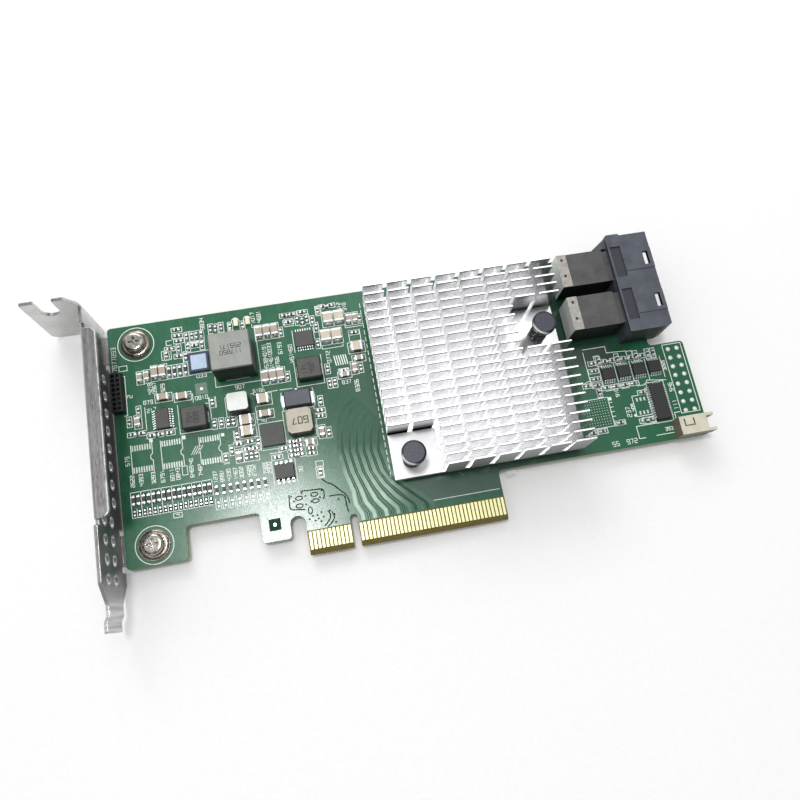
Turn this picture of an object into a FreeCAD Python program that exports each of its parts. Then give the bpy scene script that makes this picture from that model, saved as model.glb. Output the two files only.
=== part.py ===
import FreeCAD, Part
import math
import os
import Sketcher
from FreeCAD import Placement, Rotation, Vector

# Host bus adapter with its low-profile bracket, in millimetres.
# X runs along the edge contacts away from the bracket, Y from the tongue tip to the card's top edge,
# Z up from the component face. The origin is the key notch's centre line at the tongue tip.

SIZES = [
    ("card_height", 68.9, "tongue tip to the top edge of the card"),
    ("left_reach", 57.2, "key notch to the bracket end of the card"),
    ("step_reach", 25.9, "heat sink to the stepped edge under the ports"),
    ("right_reach", 9.8, "stepped edge to the free end"),
    ("shelf_height", 39.8, "top edge of the free end below the ports"),
    ("shoulder", 12.8, "lower edge of the card above the tongue"),
    ("board_thick", 1.57, "board thickness"),
    ("foot_width", 15.2, "screw foot at the bracket end"),
    ("foot_low", 4.3, "lower edge of the screw foot"),
    ("post_width", 7.45, "post beside the tongue"),
    ("post_low", 4.9, "lower edge of the post"),
    ("slot_width", 3.9, "slot between post and tongue"),
    ("slot_top", 10.3, "round top of that slot"),
    ("key_width", 1.9, "key notch width"),
    ("key_top", 8.25, "round top of the key notch"),
    ("bevel_rise", 1.3, "height of the bevel on the tongue tip"),
    ("bevel_depth", 0.45, "depth of the bevel on each face"),
    ("edge_round", 1.0, "corner radius of the card"),
    ("contact_pitch", 1.0, "edge contact pitch"),
    ("contact_first", 1.5, "key notch to the nearest contact"),
    ("contact_width", 0.7, "edge contact width"),
    ("contact_length", 4.5, "edge contact length"),
    ("contact_thick", 0.05, "plating height of the edge contacts"),
    ("contacts_short", 11, "contacts on the bracket side of the notch"),
    ("contacts_long", 38, "contacts on the free side of the notch"),
    ("tongue_margin", 0.65, "last contact's centre to the tongue's side"),
    ("bracket_gap", 1.25, "card end to the bracket's inner face"),
    ("sheet_thick", 0.9, "bracket sheet"),
    ("plate_low", 3.3, "bracket edge below the component face"),
    ("plate_width", 18.4, "bracket width"),
    ("taper_top", 1.0, "start of the taper"),
    ("taper_low", 3.8, "end of the taper below the tongue tip"),
    ("bracket_foot", 10.0, "bracket tip below the tongue tip"),
    ("tip_width", 10.2, "width of the bracket's tip"),
    ("joggle_step", 0.65, "outward set of the tip"),
    ("joggle_top", 6.2, "start of the set below the tongue tip"),
    ("joggle_low", 7.6, "end of the set below the tongue tip"),
    ("ear_rise", 0.4, "card top edge to the ear's underside"),
    ("ear_reach", 12.25, "ear length from the plate"),
    ("ear_inset", 1.7, "ear's lower side above the plate's edge"),
    ("ear_width", 21.6, "ear width"),
    ("ear_slot_width", 4.42, "screw slot in the ear"),
    ("ear_slot_place", 6.75, "slot centre from the plate"),
    ("ear_slot_depth", 7.8, "slot depth"),
    ("ear_corner", 1.6, "corner cut at the ear's tip"),
    ("bend_round", 0.85, "outer bend radius of the sheet"),
    ("flange_corner", 1.8, "corner radius of the flange"),
    ("flange_depth", 2.85, "inward flange beyond the plate"),
    ("flange_start", 15.8, "lower end of the flange"),
    ("flange_drop", 5.3, "card top edge to the flange's upper end"),
    ("relief_width", 1.4, "bend relief width"),
    ("relief_depth", 1.6, "bend relief depth"),
    ("vent_radius", 1.5, "vent hole radius"),
    ("vent_pitch", 4.72, "vent hole pitch"),
    ("vent_start", 1.95, "lowest vent row"),
    ("vent_low_place", 7.8, "lower vent rows from the plate's edge"),
    ("vent_high_place", 5.0, "upper vent rows from the plate's edge"),
    ("vent_spacing", 5.4, "distance between the two vent columns"),
    ("lug_reach", 13.0, "screw tabs beyond the plate"),
    ("lug_width", 7.8, "screw tab width"),
    ("screw_in", 7.25, "card end to the screws"),
    ("screw_low_rise", 5.1, "lower screw above the foot's edge"),
    ("screw_high_drop", 5.6, "upper screw below the card's top"),
    ("screw_radius", 1.5, "screw radius"),
    ("hole_clear", 0.15, "clearance of screws and pins in the card"),
    ("thread_clear", 0.03, "clearance in the tapped tabs"),
    ("screw_length", 2.9, "screw length below the card's face"),
    ("head_radius", 2.75, "screw head radius"),
    ("head_height", 1.9, "screw head height"),
    ("recess_span", 2.9, "cross recess span"),
    ("recess_width", 0.62, "cross recess width"),
    ("recess_depth", 1.1, "cross recess depth"),
    ("washer_radius", 3.9, "washer radius"),
    ("washer_thick", 0.5, "washer thickness"),
    ("sink_left", 11.9, "heat sink from the key notch"),
    ("sink_rise", 1.5, "heat sink above the shoulder"),
    ("sink_width", 50.4, "heat sink along X"),
    ("sink_depth", 50.0, "heat sink along Y"),
    ("base_thick", 1.7, "heat sink base"),
    ("fin_height", 9.9, "fin height"),
    ("fin_thick", 0.45, "fin thickness"),
    ("fin_rows", 22, "fin rows"),
    ("fin_columns", 8, "fin columns"),
    ("fin_gap", 1.2, "cross-cut width"),
    ("clear_columns", 2, "columns cleared at each pin"),
    ("clear_rows", 5, "rows cleared at each pin"),
    ("clear_first", 12, "first cleared row at the far pin"),
    ("ball_height", 0.35, "solder ball height"),
    ("ball_radius", 0.3, "solder ball radius"),
    ("ball_count", 11, "balls per side"),
    ("substrate_side", 27.0, "controller substrate side"),
    ("substrate_thick", 0.9, "controller substrate thickness"),
    ("lid_side", 23.0, "controller lid side"),
    ("lid_thick", 0.85, "controller lid thickness"),
    ("pad_side", 22.0, "thermal pad side"),
    ("pad_thick", 0.3, "thermal pad thickness"),
    ("pin_in", 5.0, "near pin from the sink's side"),
    ("pin_rise", 4.4, "near pin from the sink's lower side"),
    ("far_pin_in", 5.7, "far pin from the sink's far side"),
    ("far_pin_rise", 32.2, "far pin from the sink's lower side"),
    ("pin_radius", 1.4, "pin shaft radius"),
    ("pin_cap_radius", 3.1, "pin cap radius"),
    ("pin_cap_thick", 1.4, "pin cap thickness"),
    ("pin_collar_radius", 2.65, "collar under the cap"),
    ("pin_collar_thick", 0.8, "collar thickness"),
    ("barb_radius", 1.8, "barb radius"),
    ("barb_length", 1.7, "barb length under the board"),
    ("coil_radius", 2.05, "spring mean radius"),
    ("coil_wire", 0.28, "spring wire radius"),
    ("coil_turns", 5, "spring turns"),
    ("housing_over", 0.75, "port housing beyond the card's top edge"),
    ("housing_out", 3.6, "port housing beyond the stepped edge"),
    ("housing_depth", 11.6, "port housing along X"),
    ("housing_width", 28.0, "port housing along Y"),
    ("housing_top", 9.6, "port housing height"),
    ("housing_bump", 0.5, "bump on the housing's upper side"),
    ("housing_corner", 1.2, "corner cut of the housing"),
    ("gusset_long", 4.0, "wedge behind the housing"),
    ("gusset_top", 8.2, "wedge height"),
    ("port_pitch", 12.5, "distance between the ports"),
    ("cavity_width", 11.2, "port opening width"),
    ("cavity_height", 7.0, "port opening height"),
    ("cavity_floor", 1.5, "floor under the opening"),
    ("cavity_depth", 9.6, "port depth"),
    ("nose_clear", 0.05, "clearance around the contact blocks"),
    ("dish_depth", 0.4, "shallow recess on the housing"),
    ("dish_long", 2.9, "recess along X"),
    ("dish_wide", 9.0, "recess along Y"),
    ("panel_rise", 0.2, "raised latch panel"),
    ("panel_long", 8.0, "latch panel along X"),
    ("panel_wide", 6.0, "latch panel along Y"),
    ("window_long", 1.5, "latch window along X"),
    ("window_wide", 3.9, "latch window along Y"),
    ("window_back", 1.0, "latch window behind the front"),
    ("block_width", 9.4, "contact block along Y"),
    ("block_long", 12.6, "contact block along X"),
    ("block_top", 8.6, "contact block height"),
    ("block_low", 0.6, "contact block above the card"),
    ("block_gap", 1.6, "contact block to housing"),
    ("nose_width", 8.8, "block nose along Y"),
    ("nose_height", 5.8, "block nose height"),
    ("nose_in", 3.8, "block nose inside the housing"),
    ("card_slot_width", 7.8, "slot in the nose along Y"),
    ("card_slot_high", 1.2, "slot in the nose height"),
    ("card_slot_deep", 4.5, "slot in the nose depth"),
    ("card_slot_pitch", 3.0, "distance between the slots"),
    ("strip_count", 9, "contacts per slot face"),
    ("strip_pitch", 0.8, "contact pitch in the ports"),
    ("strip_width", 0.36, "contact width in the ports"),
    ("strip_thick", 0.2, "contact thickness in the ports"),
    ("tail_side", 0.4, "solder tail side"),
    ("tail_rows", 4, "solder tail rows"),
    ("end_cap_long", 2.7, "end cap along X"),
    ("end_cap_sheet", 0.3, "end cap thickness"),
    ("end_cap_hole", 0.8, "square hole in an end cap"),
    ("choke_x", 32.9, "large choke from the card end"),
    ("choke_drop", 14.7, "large choke below the top edge"),
    ("choke_long", 10.7, "large choke along X"),
    ("choke_wide", 10.1, "large choke along Y"),
    ("choke_high", 9.3, "large choke height"),
    ("choke_round", 0.3, "large choke edge cut"),
    ("terminal_thick", 0.2, "flat terminal thickness"),
    ("terminal_out", 0.9, "flat terminal beyond the rectifier"),
    ("lug_out", 0.15, "flat terminal beyond a choke"),
    ("lug_under", 0.7, "flat terminal under a choke"),
    ("cream_x", 9.75, "cream choke before the notch"),
    ("cream_rise", 21.3, "cream choke above the shoulder"),
    ("cream_side", 6.5, "cream choke side"),
    ("cream_high", 4.0, "cream choke height"),
    ("cream_base", 0.5, "cream choke base"),
    ("cream_corner", 0.8, "cream choke corner cut"),
    ("white_x", 32.5, "white choke from the card end"),
    ("white_drop", 27.35, "white choke below the top edge"),
    ("white_long", 5.3, "white choke along X"),
    ("white_wide", 4.8, "white choke along Y"),
    ("white_high", 5.0, "white choke height"),
    ("dark_left_x", 20.75, "left dark choke from the card end"),
    ("dark_left_drop", 28.9, "left dark choke below the top edge"),
    ("dark_centre_x", 5.25, "centre dark choke before the notch"),
    ("dark_centre_drop", 20.6, "centre dark choke below the top edge"),
    ("dark_long", 6.6, "dark choke along X"),
    ("dark_wide", 6.0, "dark choke along Y"),
    ("dark_high", 3.0, "dark choke height"),
    ("stage_x", 23.3, "power stage from the card end"),
    ("stage_drop", 13.5, "power stage below the top edge"),
    ("stage_side", 5.2, "power stage side"),
    ("stage_high", 0.8, "power stage height"),
    ("stage_plate", 4.1, "plate on the power stage"),
    ("stage_plate_high", 0.08, "plate thickness"),
    ("diode_x", 9.5, "rectifier before the notch"),
    ("diode_drop", 28.1, "rectifier below the top edge"),
    ("diode_long", 7.1, "rectifier along X"),
    ("diode_wide", 4.5, "rectifier along Y"),
    ("diode_high", 2.0, "rectifier height"),
    ("regulator_x", 17.2, "regulator before the notch"),
    ("regulator_rise", 19.5, "regulator above the shoulder"),
    ("regulator_side", 5.8, "regulator side"),
    ("regulator_high", 0.9, "regulator height"),
    ("lead_out", 0.95, "lead length beyond a chip"),
    ("lead_thick", 0.15, "lead thickness"),
    ("lead_fine", 0.65, "fine lead pitch"),
    ("lead_wide", 1.27, "wide lead pitch"),
    ("clock_x", 12.4, "clock chip from the card end"),
    ("clock_drop", 27.5, "clock chip below the top edge"),
    ("clock_long", 3.5, "clock chip along X"),
    ("clock_wide", 5.4, "clock chip along Y"),
    ("driver_x", 5.35, "driver chip before the notch"),
    ("driver_drop", 11.6, "driver chip below the top edge"),
    ("driver_long", 5.1, "driver chip along X"),
    ("driver_wide", 4.4, "driver chip along Y"),
    ("flash_x", 15.5, "flash chip before the notch"),
    ("flash_rise", 9.3, "flash chip above the shoulder"),
    ("flash_long", 4.9, "flash chip along X"),
    ("flash_wide", 3.9, "flash chip along Y"),
    ("flash_high", 1.5, "flash chip height"),
    ("chip_high", 1.0, "height of the thin chips"),
    ("buffer_in", 23.3, "first buffer chip from the free end"),
    ("buffer_pitch", 4.4, "buffer chip pitch"),
    ("buffer_rise", 20.8, "buffer chips above the shoulder"),
    ("buffer_long", 3.6, "buffer chip along X"),
    ("buffer_wide", 3.3, "buffer chip along Y"),
    ("memory_in", 11.4, "memory chip from the free end"),
    ("memory_rise", 10.9, "memory chip above the shoulder"),
    ("memory_long", 4.0, "memory chip along X"),
    ("memory_wide", 10.2, "memory chip along Y"),
    ("large_cap_long", 3.1, "large capacitor length"),
    ("large_cap_wide", 2.6, "large capacitor width"),
    ("large_cap_high", 1.9, "large capacitor height"),
    ("mid_cap_long", 3.0, "middle capacitor length"),
    ("mid_cap_wide", 1.75, "middle capacitor width"),
    ("mid_cap_high", 1.6, "middle capacitor height"),
    ("small_cap_long", 2.2, "small capacitor length"),
    ("small_cap_wide", 1.35, "small capacitor width"),
    ("small_cap_high", 1.1, "small capacitor height"),
    ("chip_long", 1.35, "chip part length"),
    ("chip_wide", 0.68, "chip part width"),
    ("chip_rise", 0.5, "chip part height"),
    ("row_long", 2.25, "part length in the two rows"),
    ("row_wide", 0.75, "part width in the two rows"),
    ("array_start", 3.1, "first part of the long row from the card end"),
    ("array_pitch", 1.28, "pitch of the long row"),
    ("array_rise", 8.5, "long row above the shoulder"),
    ("pair_start", 24.0, "first part of the short row from the card end"),
    ("pair_pitch", 1.77, "pitch of the short row"),
    ("pair_rise", 7.5, "short row above the shoulder"),
    ("led_long", 2.2, "status light length"),
    ("led_wide", 1.2, "status light width"),
    ("led_high", 0.8, "status light height"),
    ("rear_in", 0.3, "rear header from the card end"),
    ("rear_drop", 13.7, "rear header below the top edge"),
    ("rear_long", 10.6, "rear header along Y"),
    ("rear_wide", 2.9, "rear header along X"),
    ("rear_high", 2.6, "rear header height"),
    ("rear_pins", 8, "rear header pins"),
    ("rear_pitch", 1.27, "rear header pitch"),
    ("rear_pin_side", 0.4, "rear header pin side"),
    ("corner_in", 9.5, "corner socket from the free end"),
    ("corner_long", 7.5, "corner socket body along X"),
    ("corner_rise", 0.1, "corner socket above the shoulder"),
    ("corner_wide", 4.9, "corner socket along Y"),
    ("corner_high", 4.5, "corner socket height"),
    ("corner_wall", 0.8, "corner socket wall"),
    ("corner_prong", 2.2, "corner socket prongs"),
    ("corner_cavity", 4.2, "corner socket depth"),
    ("corner_pin", 0.5, "corner socket pin side"),
    ("corner_slit", 0.35, "slit around the tab of the corner socket"),
    ("corner_tab", 2.2, "tab of the corner socket along X"),
    ("barrel_in", 4.7, "first header column from the free end"),
    ("barrel_drop", 1.9, "first header row below the shelf"),
    ("barrel_pitch", 2.54, "header pitch"),
    ("barrel_rows", 8, "header rows"),
    ("barrel_outer", 0.62, "plated ring radius"),
    ("barrel_bore", 0.42, "plated hole radius"),
    ("barrel_wall", 0.1, "plating thickness"),
    ("barrel_lip", 0.04, "plated ring height"),
]

doc = FreeCAD.newDocument("host_bus_adapter")
sheet = doc.addObject("Spreadsheet::Sheet", "dims")
for row, (alias, value, note) in enumerate(SIZES, start=1):
    sheet.set(f"A{row}", alias)
    sheet.set(f"B{row}", str(value))
    sheet.set(f"C{row}", note)
    sheet.setAlias(f"B{row}", alias)
doc.recompute()

nodes = []


class Size:
    """A length that carries its value and the sheet expression it comes from."""

    def __init__(self, value, text):
        self.value = value
        self.text = text

    def __add__(self, other):
        other = as_size(other)
        return Size(self.value + other.value, f"({self.text} + {other.text})")

    def __sub__(self, other):
        other = as_size(other)
        return Size(self.value - other.value, f"({self.text} - {other.text})")

    def __mul__(self, other):
        other = as_size(other)
        return Size(self.value * other.value, f"({self.text} * {other.text})")

    def __truediv__(self, other):
        other = as_size(other)
        return Size(self.value / other.value, f"({self.text} / {other.text})")

    def __neg__(self):
        return Size(-self.value, f"(0 - {self.text})")

    def __radd__(self, other):
        return as_size(other) + self

    def __rsub__(self, other):
        return as_size(other) - self

    def __rmul__(self, other):
        return as_size(other) * self


def as_size(value):
    if isinstance(value, Size):
        return value
    return Size(float(value), f"({value})")


def d(alias):
    """The named sheet cell."""
    return Size(float(sheet.get(alias)), f"dims.{alias}")


def val(alias):
    """The named sheet cell as a plain number."""
    return float(sheet.get(alias))


def count(alias):
    return int(round(val(alias)))


def bind(item, prop, size):
    item.setExpression(prop, as_size(size).text)


def keep(item, label):
    """Names a finished sub-part."""
    item.Label = label
    nodes.append(item)
    return item


def box(name, corner, size):
    item = doc.addObject("Part::Box", name)
    for prop, value in zip(("Length", "Width", "Height"), size):
        bind(item, prop, value)
    for axis, value in zip("xyz", corner):
        bind(item, "Placement.Base." + axis, value)
    return item


def centred_box(name, centre, size, low):
    """A box around a centre in X and Y that starts at the height low."""
    corner = (as_size(centre[0]) - size[0] / 2, as_size(centre[1]) - size[1] / 2, low)
    return box(name, corner, size)


def cylinder(name, centre, low, radius, height):
    item = doc.addObject("Part::Cylinder", name)
    bind(item, "Radius", radius)
    bind(item, "Height", height)
    for axis, value in zip("xyz", (centre[0], centre[1], low)):
        bind(item, "Placement.Base." + axis, value)
    return item


def cone(name, centre, low, low_radius, high_radius, height):
    item = doc.addObject("Part::Cone", name)
    bind(item, "Radius1", low_radius)
    bind(item, "Radius2", high_radius)
    bind(item, "Height", height)
    for axis, value in zip("xyz", (centre[0], centre[1], low)):
        bind(item, "Placement.Base." + axis, value)
    return item


def fuse(name, items):
    item = doc.addObject("Part::MultiFuse", name)
    item.Shapes = items
    return item


def cut(name, base, tool):
    item = doc.addObject("Part::Cut", name)
    item.Base = base
    item.Tool = tool
    return item


def soften(name, base, size, picks):
    """Cuts the picked edges of a primitive at 45 degrees."""
    doc.recompute()
    item = doc.addObject("Part::Chamfer", name)
    item.Base = base
    reach = as_size(size).value
    item.Edges = [(i + 1, reach, reach) for i, edge in enumerate(base.Shape.Edges) if picks(edge)]
    return item


def group(label, solids):
    """One sub-part made of many like solids."""
    item = doc.addObject("Part::Feature", label)
    item.Shape = Part.makeCompound(solids)
    return keep(item, label)


def new_body(label):
    body = doc.addObject("PartDesign::Body", label)
    body.AllowCompound = True
    return keep(body, label)


def sketch_on(body, name, role, offset):
    """A sketch on one of the body's own planes, moved along that plane's normal."""
    plane = next(item for item in body.Origin.OriginFeatures if item.Role == role)
    item = body.newObject("Sketcher::SketchObject", name)
    item.AttachmentSupport = (plane, [""])
    item.MapMode = "FlatFace"
    bind(item, "AttachmentOffset.Base.z", offset)
    return item


def hold_point(item, geometry, end, x, y):
    for kind, value in (("DistanceX", x), ("DistanceY", y)):
        size = as_size(value)
        index = item.addConstraint(Sketcher.Constraint(kind, -1, 1, geometry, end, size.value))
        item.setExpression(f"Constraints[{index}]", size.text)


def add_polygon(item, points):
    places = [Vector(as_size(x).value, as_size(y).value, 0) for x, y in points]
    total = len(points)
    lines = []
    for i in range(total):
        segment = Part.LineSegment(places[i], places[(i + 1) % total])
        lines.append(item.addGeometry(segment, False))
    for i in range(total):
        item.addConstraint(Sketcher.Constraint("Coincident", lines[i], 2, lines[(i + 1) % total], 1))
    for line, (x, y) in zip(lines, points):
        hold_point(item, line, 1, x, y)


def add_rectangle(item, low, high):
    add_polygon(item, [low, (high[0], low[1]), high, (low[0], high[1])])


def add_circle(item, x, y, radius):
    centre = Vector(as_size(x).value, as_size(y).value, 0)
    size = as_size(radius)
    ring = item.addGeometry(Part.Circle(centre, Vector(0, 0, 1), size.value), False)
    hold_point(item, ring, 3, x, y)
    index = item.addConstraint(Sketcher.Constraint("Radius", ring, size.value))
    item.setExpression(f"Constraints[{index}]", size.text)


def pad(body, name, profile, length, reverse=False):
    item = body.newObject("PartDesign::Pad", name)
    item.Profile = profile
    bind(item, "Length", length)
    item.Reversed = reverse
    body.Tip = item
    return item


def pocket(body, name, profile, length=None, both=False):
    """A pocket against the sketch's normal; through everything when no length is given."""
    item = body.newObject("PartDesign::Pocket", name)
    item.Profile = profile
    if length is None:
        item.Type = "ThroughAll"
    else:
        bind(item, "Length", length)
    item.Midplane = both
    body.Tip = item
    return item


def repeat(body, name, feature, profile, axis, total, length):
    item = body.newObject("PartDesign::LinearPattern", name)
    item.Originals = [feature]
    item.Direction = (profile, [axis])
    item.Occurrences = total
    bind(item, "Length", length)
    body.Tip = item
    return item


def round_edges(body, name, radius, picks):
    """Fillets the edges of the body's tip that the test picks."""
    doc.recompute()
    base = body.Tip
    names = [f"Edge{i + 1}" for i, edge in enumerate(base.Shape.Edges) if picks(edge)]
    item = body.newObject("PartDesign::Fillet", name)
    item.Base = (base, names)
    bind(item, "Radius", radius)
    body.Tip = item
    return item


def upright_at(places):
    """Picks vertical edges that stand at one of the places."""
    spots = [(as_size(x).value, as_size(y).value) for x, y in places]

    def picks(edge):
        first = edge.Vertexes[0].Point
        last = edge.Vertexes[-1].Point
        if math.hypot(first.x - last.x, first.y - last.y) > 1e-4 or abs(first.z - last.z) < 1e-4:
            return False
        return any(math.hypot(first.x - x, first.y - y) < 0.02 for x, y in spots)

    return picks


def top_outline(edge):
    """Picks the edges around the top of a box and its uprights."""
    first = edge.Vertexes[0].Point
    last = edge.Vertexes[-1].Point
    return max(first.z, last.z) > 1e-3 and (first.z > 1e-3 + 0.2)


def block(x, y, low, long, wide, high, turn=0.0):
    """A plain solid box centred on x, y and turned about Z."""
    solid = Part.makeBox(long, wide, high, Vector(-long / 2, -wide / 2, low))
    solid.rotate(Vector(0, 0, 0), Vector(0, 0, 1), turn)
    solid.translate(Vector(x, y, 0))
    return solid


# Lines of the card that the other places start from
left = -d("left_reach")
sink_right = d("sink_left") + d("sink_width")
step_x = sink_right + d("step_reach")
right = step_x + d("right_reach")
top = d("card_height")
shoulder = d("shoulder")
tongue_left = -(d("contact_first") + (d("contacts_short") - 1) * d("contact_pitch") + d("tongue_margin"))
tongue_right = d("contact_first") + (d("contacts_long") - 1) * d("contact_pitch") + d("tongue_margin")
slot_left = tongue_left - d("slot_width")
post_left = slot_left - d("post_width")
foot_right = left + d("foot_width")
screw_x = left + d("screw_in")
screw_low = d("foot_low") + d("screw_low_rise")
screw_high = top - d("screw_high_drop")
sink_low = shoulder + d("sink_rise")
pin_near = (d("sink_left") + d("pin_in"), sink_low + d("pin_rise"))
pin_far = (sink_right - d("far_pin_in"), sink_low + d("far_pin_rise"))
barrel_x = right - d("barrel_in")
barrel_y = d("shelf_height") - d("barrel_drop")


def barrel_places():
    for column in range(2):
        for row in range(count("barrel_rows")):
            yield barrel_x + d("barrel_pitch") * column, barrel_y - d("barrel_pitch") * row


def make_board():
    body = new_body("circuit_board")
    outline = sketch_on(body, "card_outline", "XY_Plane", -d("board_thick"))
    add_polygon(outline, [
        (left, d("foot_low")), (foot_right, d("foot_low")), (foot_right, shoulder),
        (post_left, shoulder), (post_left, d("post_low")), (slot_left, d("post_low")),
        (slot_left, d("slot_top")), (tongue_left, d("slot_top")), (tongue_left, 0),
        (tongue_right, 0), (tongue_right, shoulder), (right, shoulder),
        (right, d("shelf_height")), (step_x, d("shelf_height")),
        (step_x, top), (left, top),
    ])
    pad(body, "card_sheet", outline, d("board_thick"))
    round_edges(body, "card_corners", d("edge_round"), upright_at([
        (left, d("foot_low")), (foot_right, d("foot_low")), (foot_right, shoulder), (post_left, shoulder),
        (post_left, d("post_low")), (slot_left, d("post_low")), (tongue_right, shoulder), (right, shoulder),
        (right, d("shelf_height")), (step_x, d("shelf_height")), (step_x, top), (left, top),
    ]))
    round_edges(body, "slot_round", d("slot_width") / 2 - 0.01, upright_at([
        (slot_left, d("slot_top")), (tongue_left, d("slot_top")),
    ]))
    half = d("key_width") / 2
    key = sketch_on(body, "key_outline", "XY_Plane", 0)
    add_rectangle(key, (-half, -half), (half, d("key_top") - half))
    pocket(body, "key_notch", key)
    key_end = sketch_on(body, "key_end_outline", "XY_Plane", 0)
    add_circle(key_end, 0, d("key_top") - half, half)
    pocket(body, "key_notch_end", key_end)
    bevel = sketch_on(body, "bevel_outline", "YZ_Plane", 0)
    under = -d("board_thick")
    add_polygon(bevel, [(0, 0), (d("bevel_rise"), 0), (0, -d("bevel_depth"))])
    add_polygon(bevel, [(0, under), (d("bevel_rise"), under), (0, under + d("bevel_depth"))])
    pocket(body, "tongue_bevel", bevel, None, True)
    drill = sketch_on(body, "card_holes", "XY_Plane", 0)
    for y in (screw_low, screw_high):
        add_circle(drill, screw_x, y, d("screw_radius") + d("hole_clear"))
    for x, y in (pin_near, pin_far):
        add_circle(drill, x, y, d("pin_radius") + d("hole_clear"))
    for x, y in barrel_places():
        add_circle(drill, x, y, d("barrel_bore") + d("barrel_wall"))
    pocket(body, "card_drilling", drill)


def make_contacts():
    pitch, first = val("contact_pitch"), val("contact_first")
    places = [-first - pitch * i for i in range(count("contacts_short"))]
    places += [first + pitch * i for i in range(count("contacts_long"))]
    y = val("bevel_rise") + val("contact_length") / 2
    thick = val("contact_thick")
    for label, low in (("edge_contacts_front", 0.0), ("edge_contacts_back", -val("board_thick") - thick)):
        group(label, [block(x, y, low, val("contact_width"), val("contact_length"), thick) for x in places])


def make_barrels():
    under = -val("board_thick")
    lip = val("barrel_lip")
    solids = []
    for x, y in barrel_places():
        centre = Vector(x.value, y.value, 0)
        tube = Part.makeCylinder(val("barrel_bore") + val("barrel_wall"), -under, centre + Vector(0, 0, under))
        for low in (0.0, under - lip):
            tube = tube.fuse(Part.makeCylinder(val("barrel_outer"), lip, centre + Vector(0, 0, low)))
        bore = Part.makeCylinder(val("barrel_bore"), 4, centre + Vector(0, 0, -3))
        solids.append(tube.cut(bore))
    group("header_barrels", solids)


plate_inner = left - d("bracket_gap")
plate_outer = plate_inner - d("sheet_thick")
plate_low = -d("plate_low")
plate_high = plate_low + d("plate_width")
ear_under = top + d("ear_rise")
ear_top = ear_under + d("sheet_thick")


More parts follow.
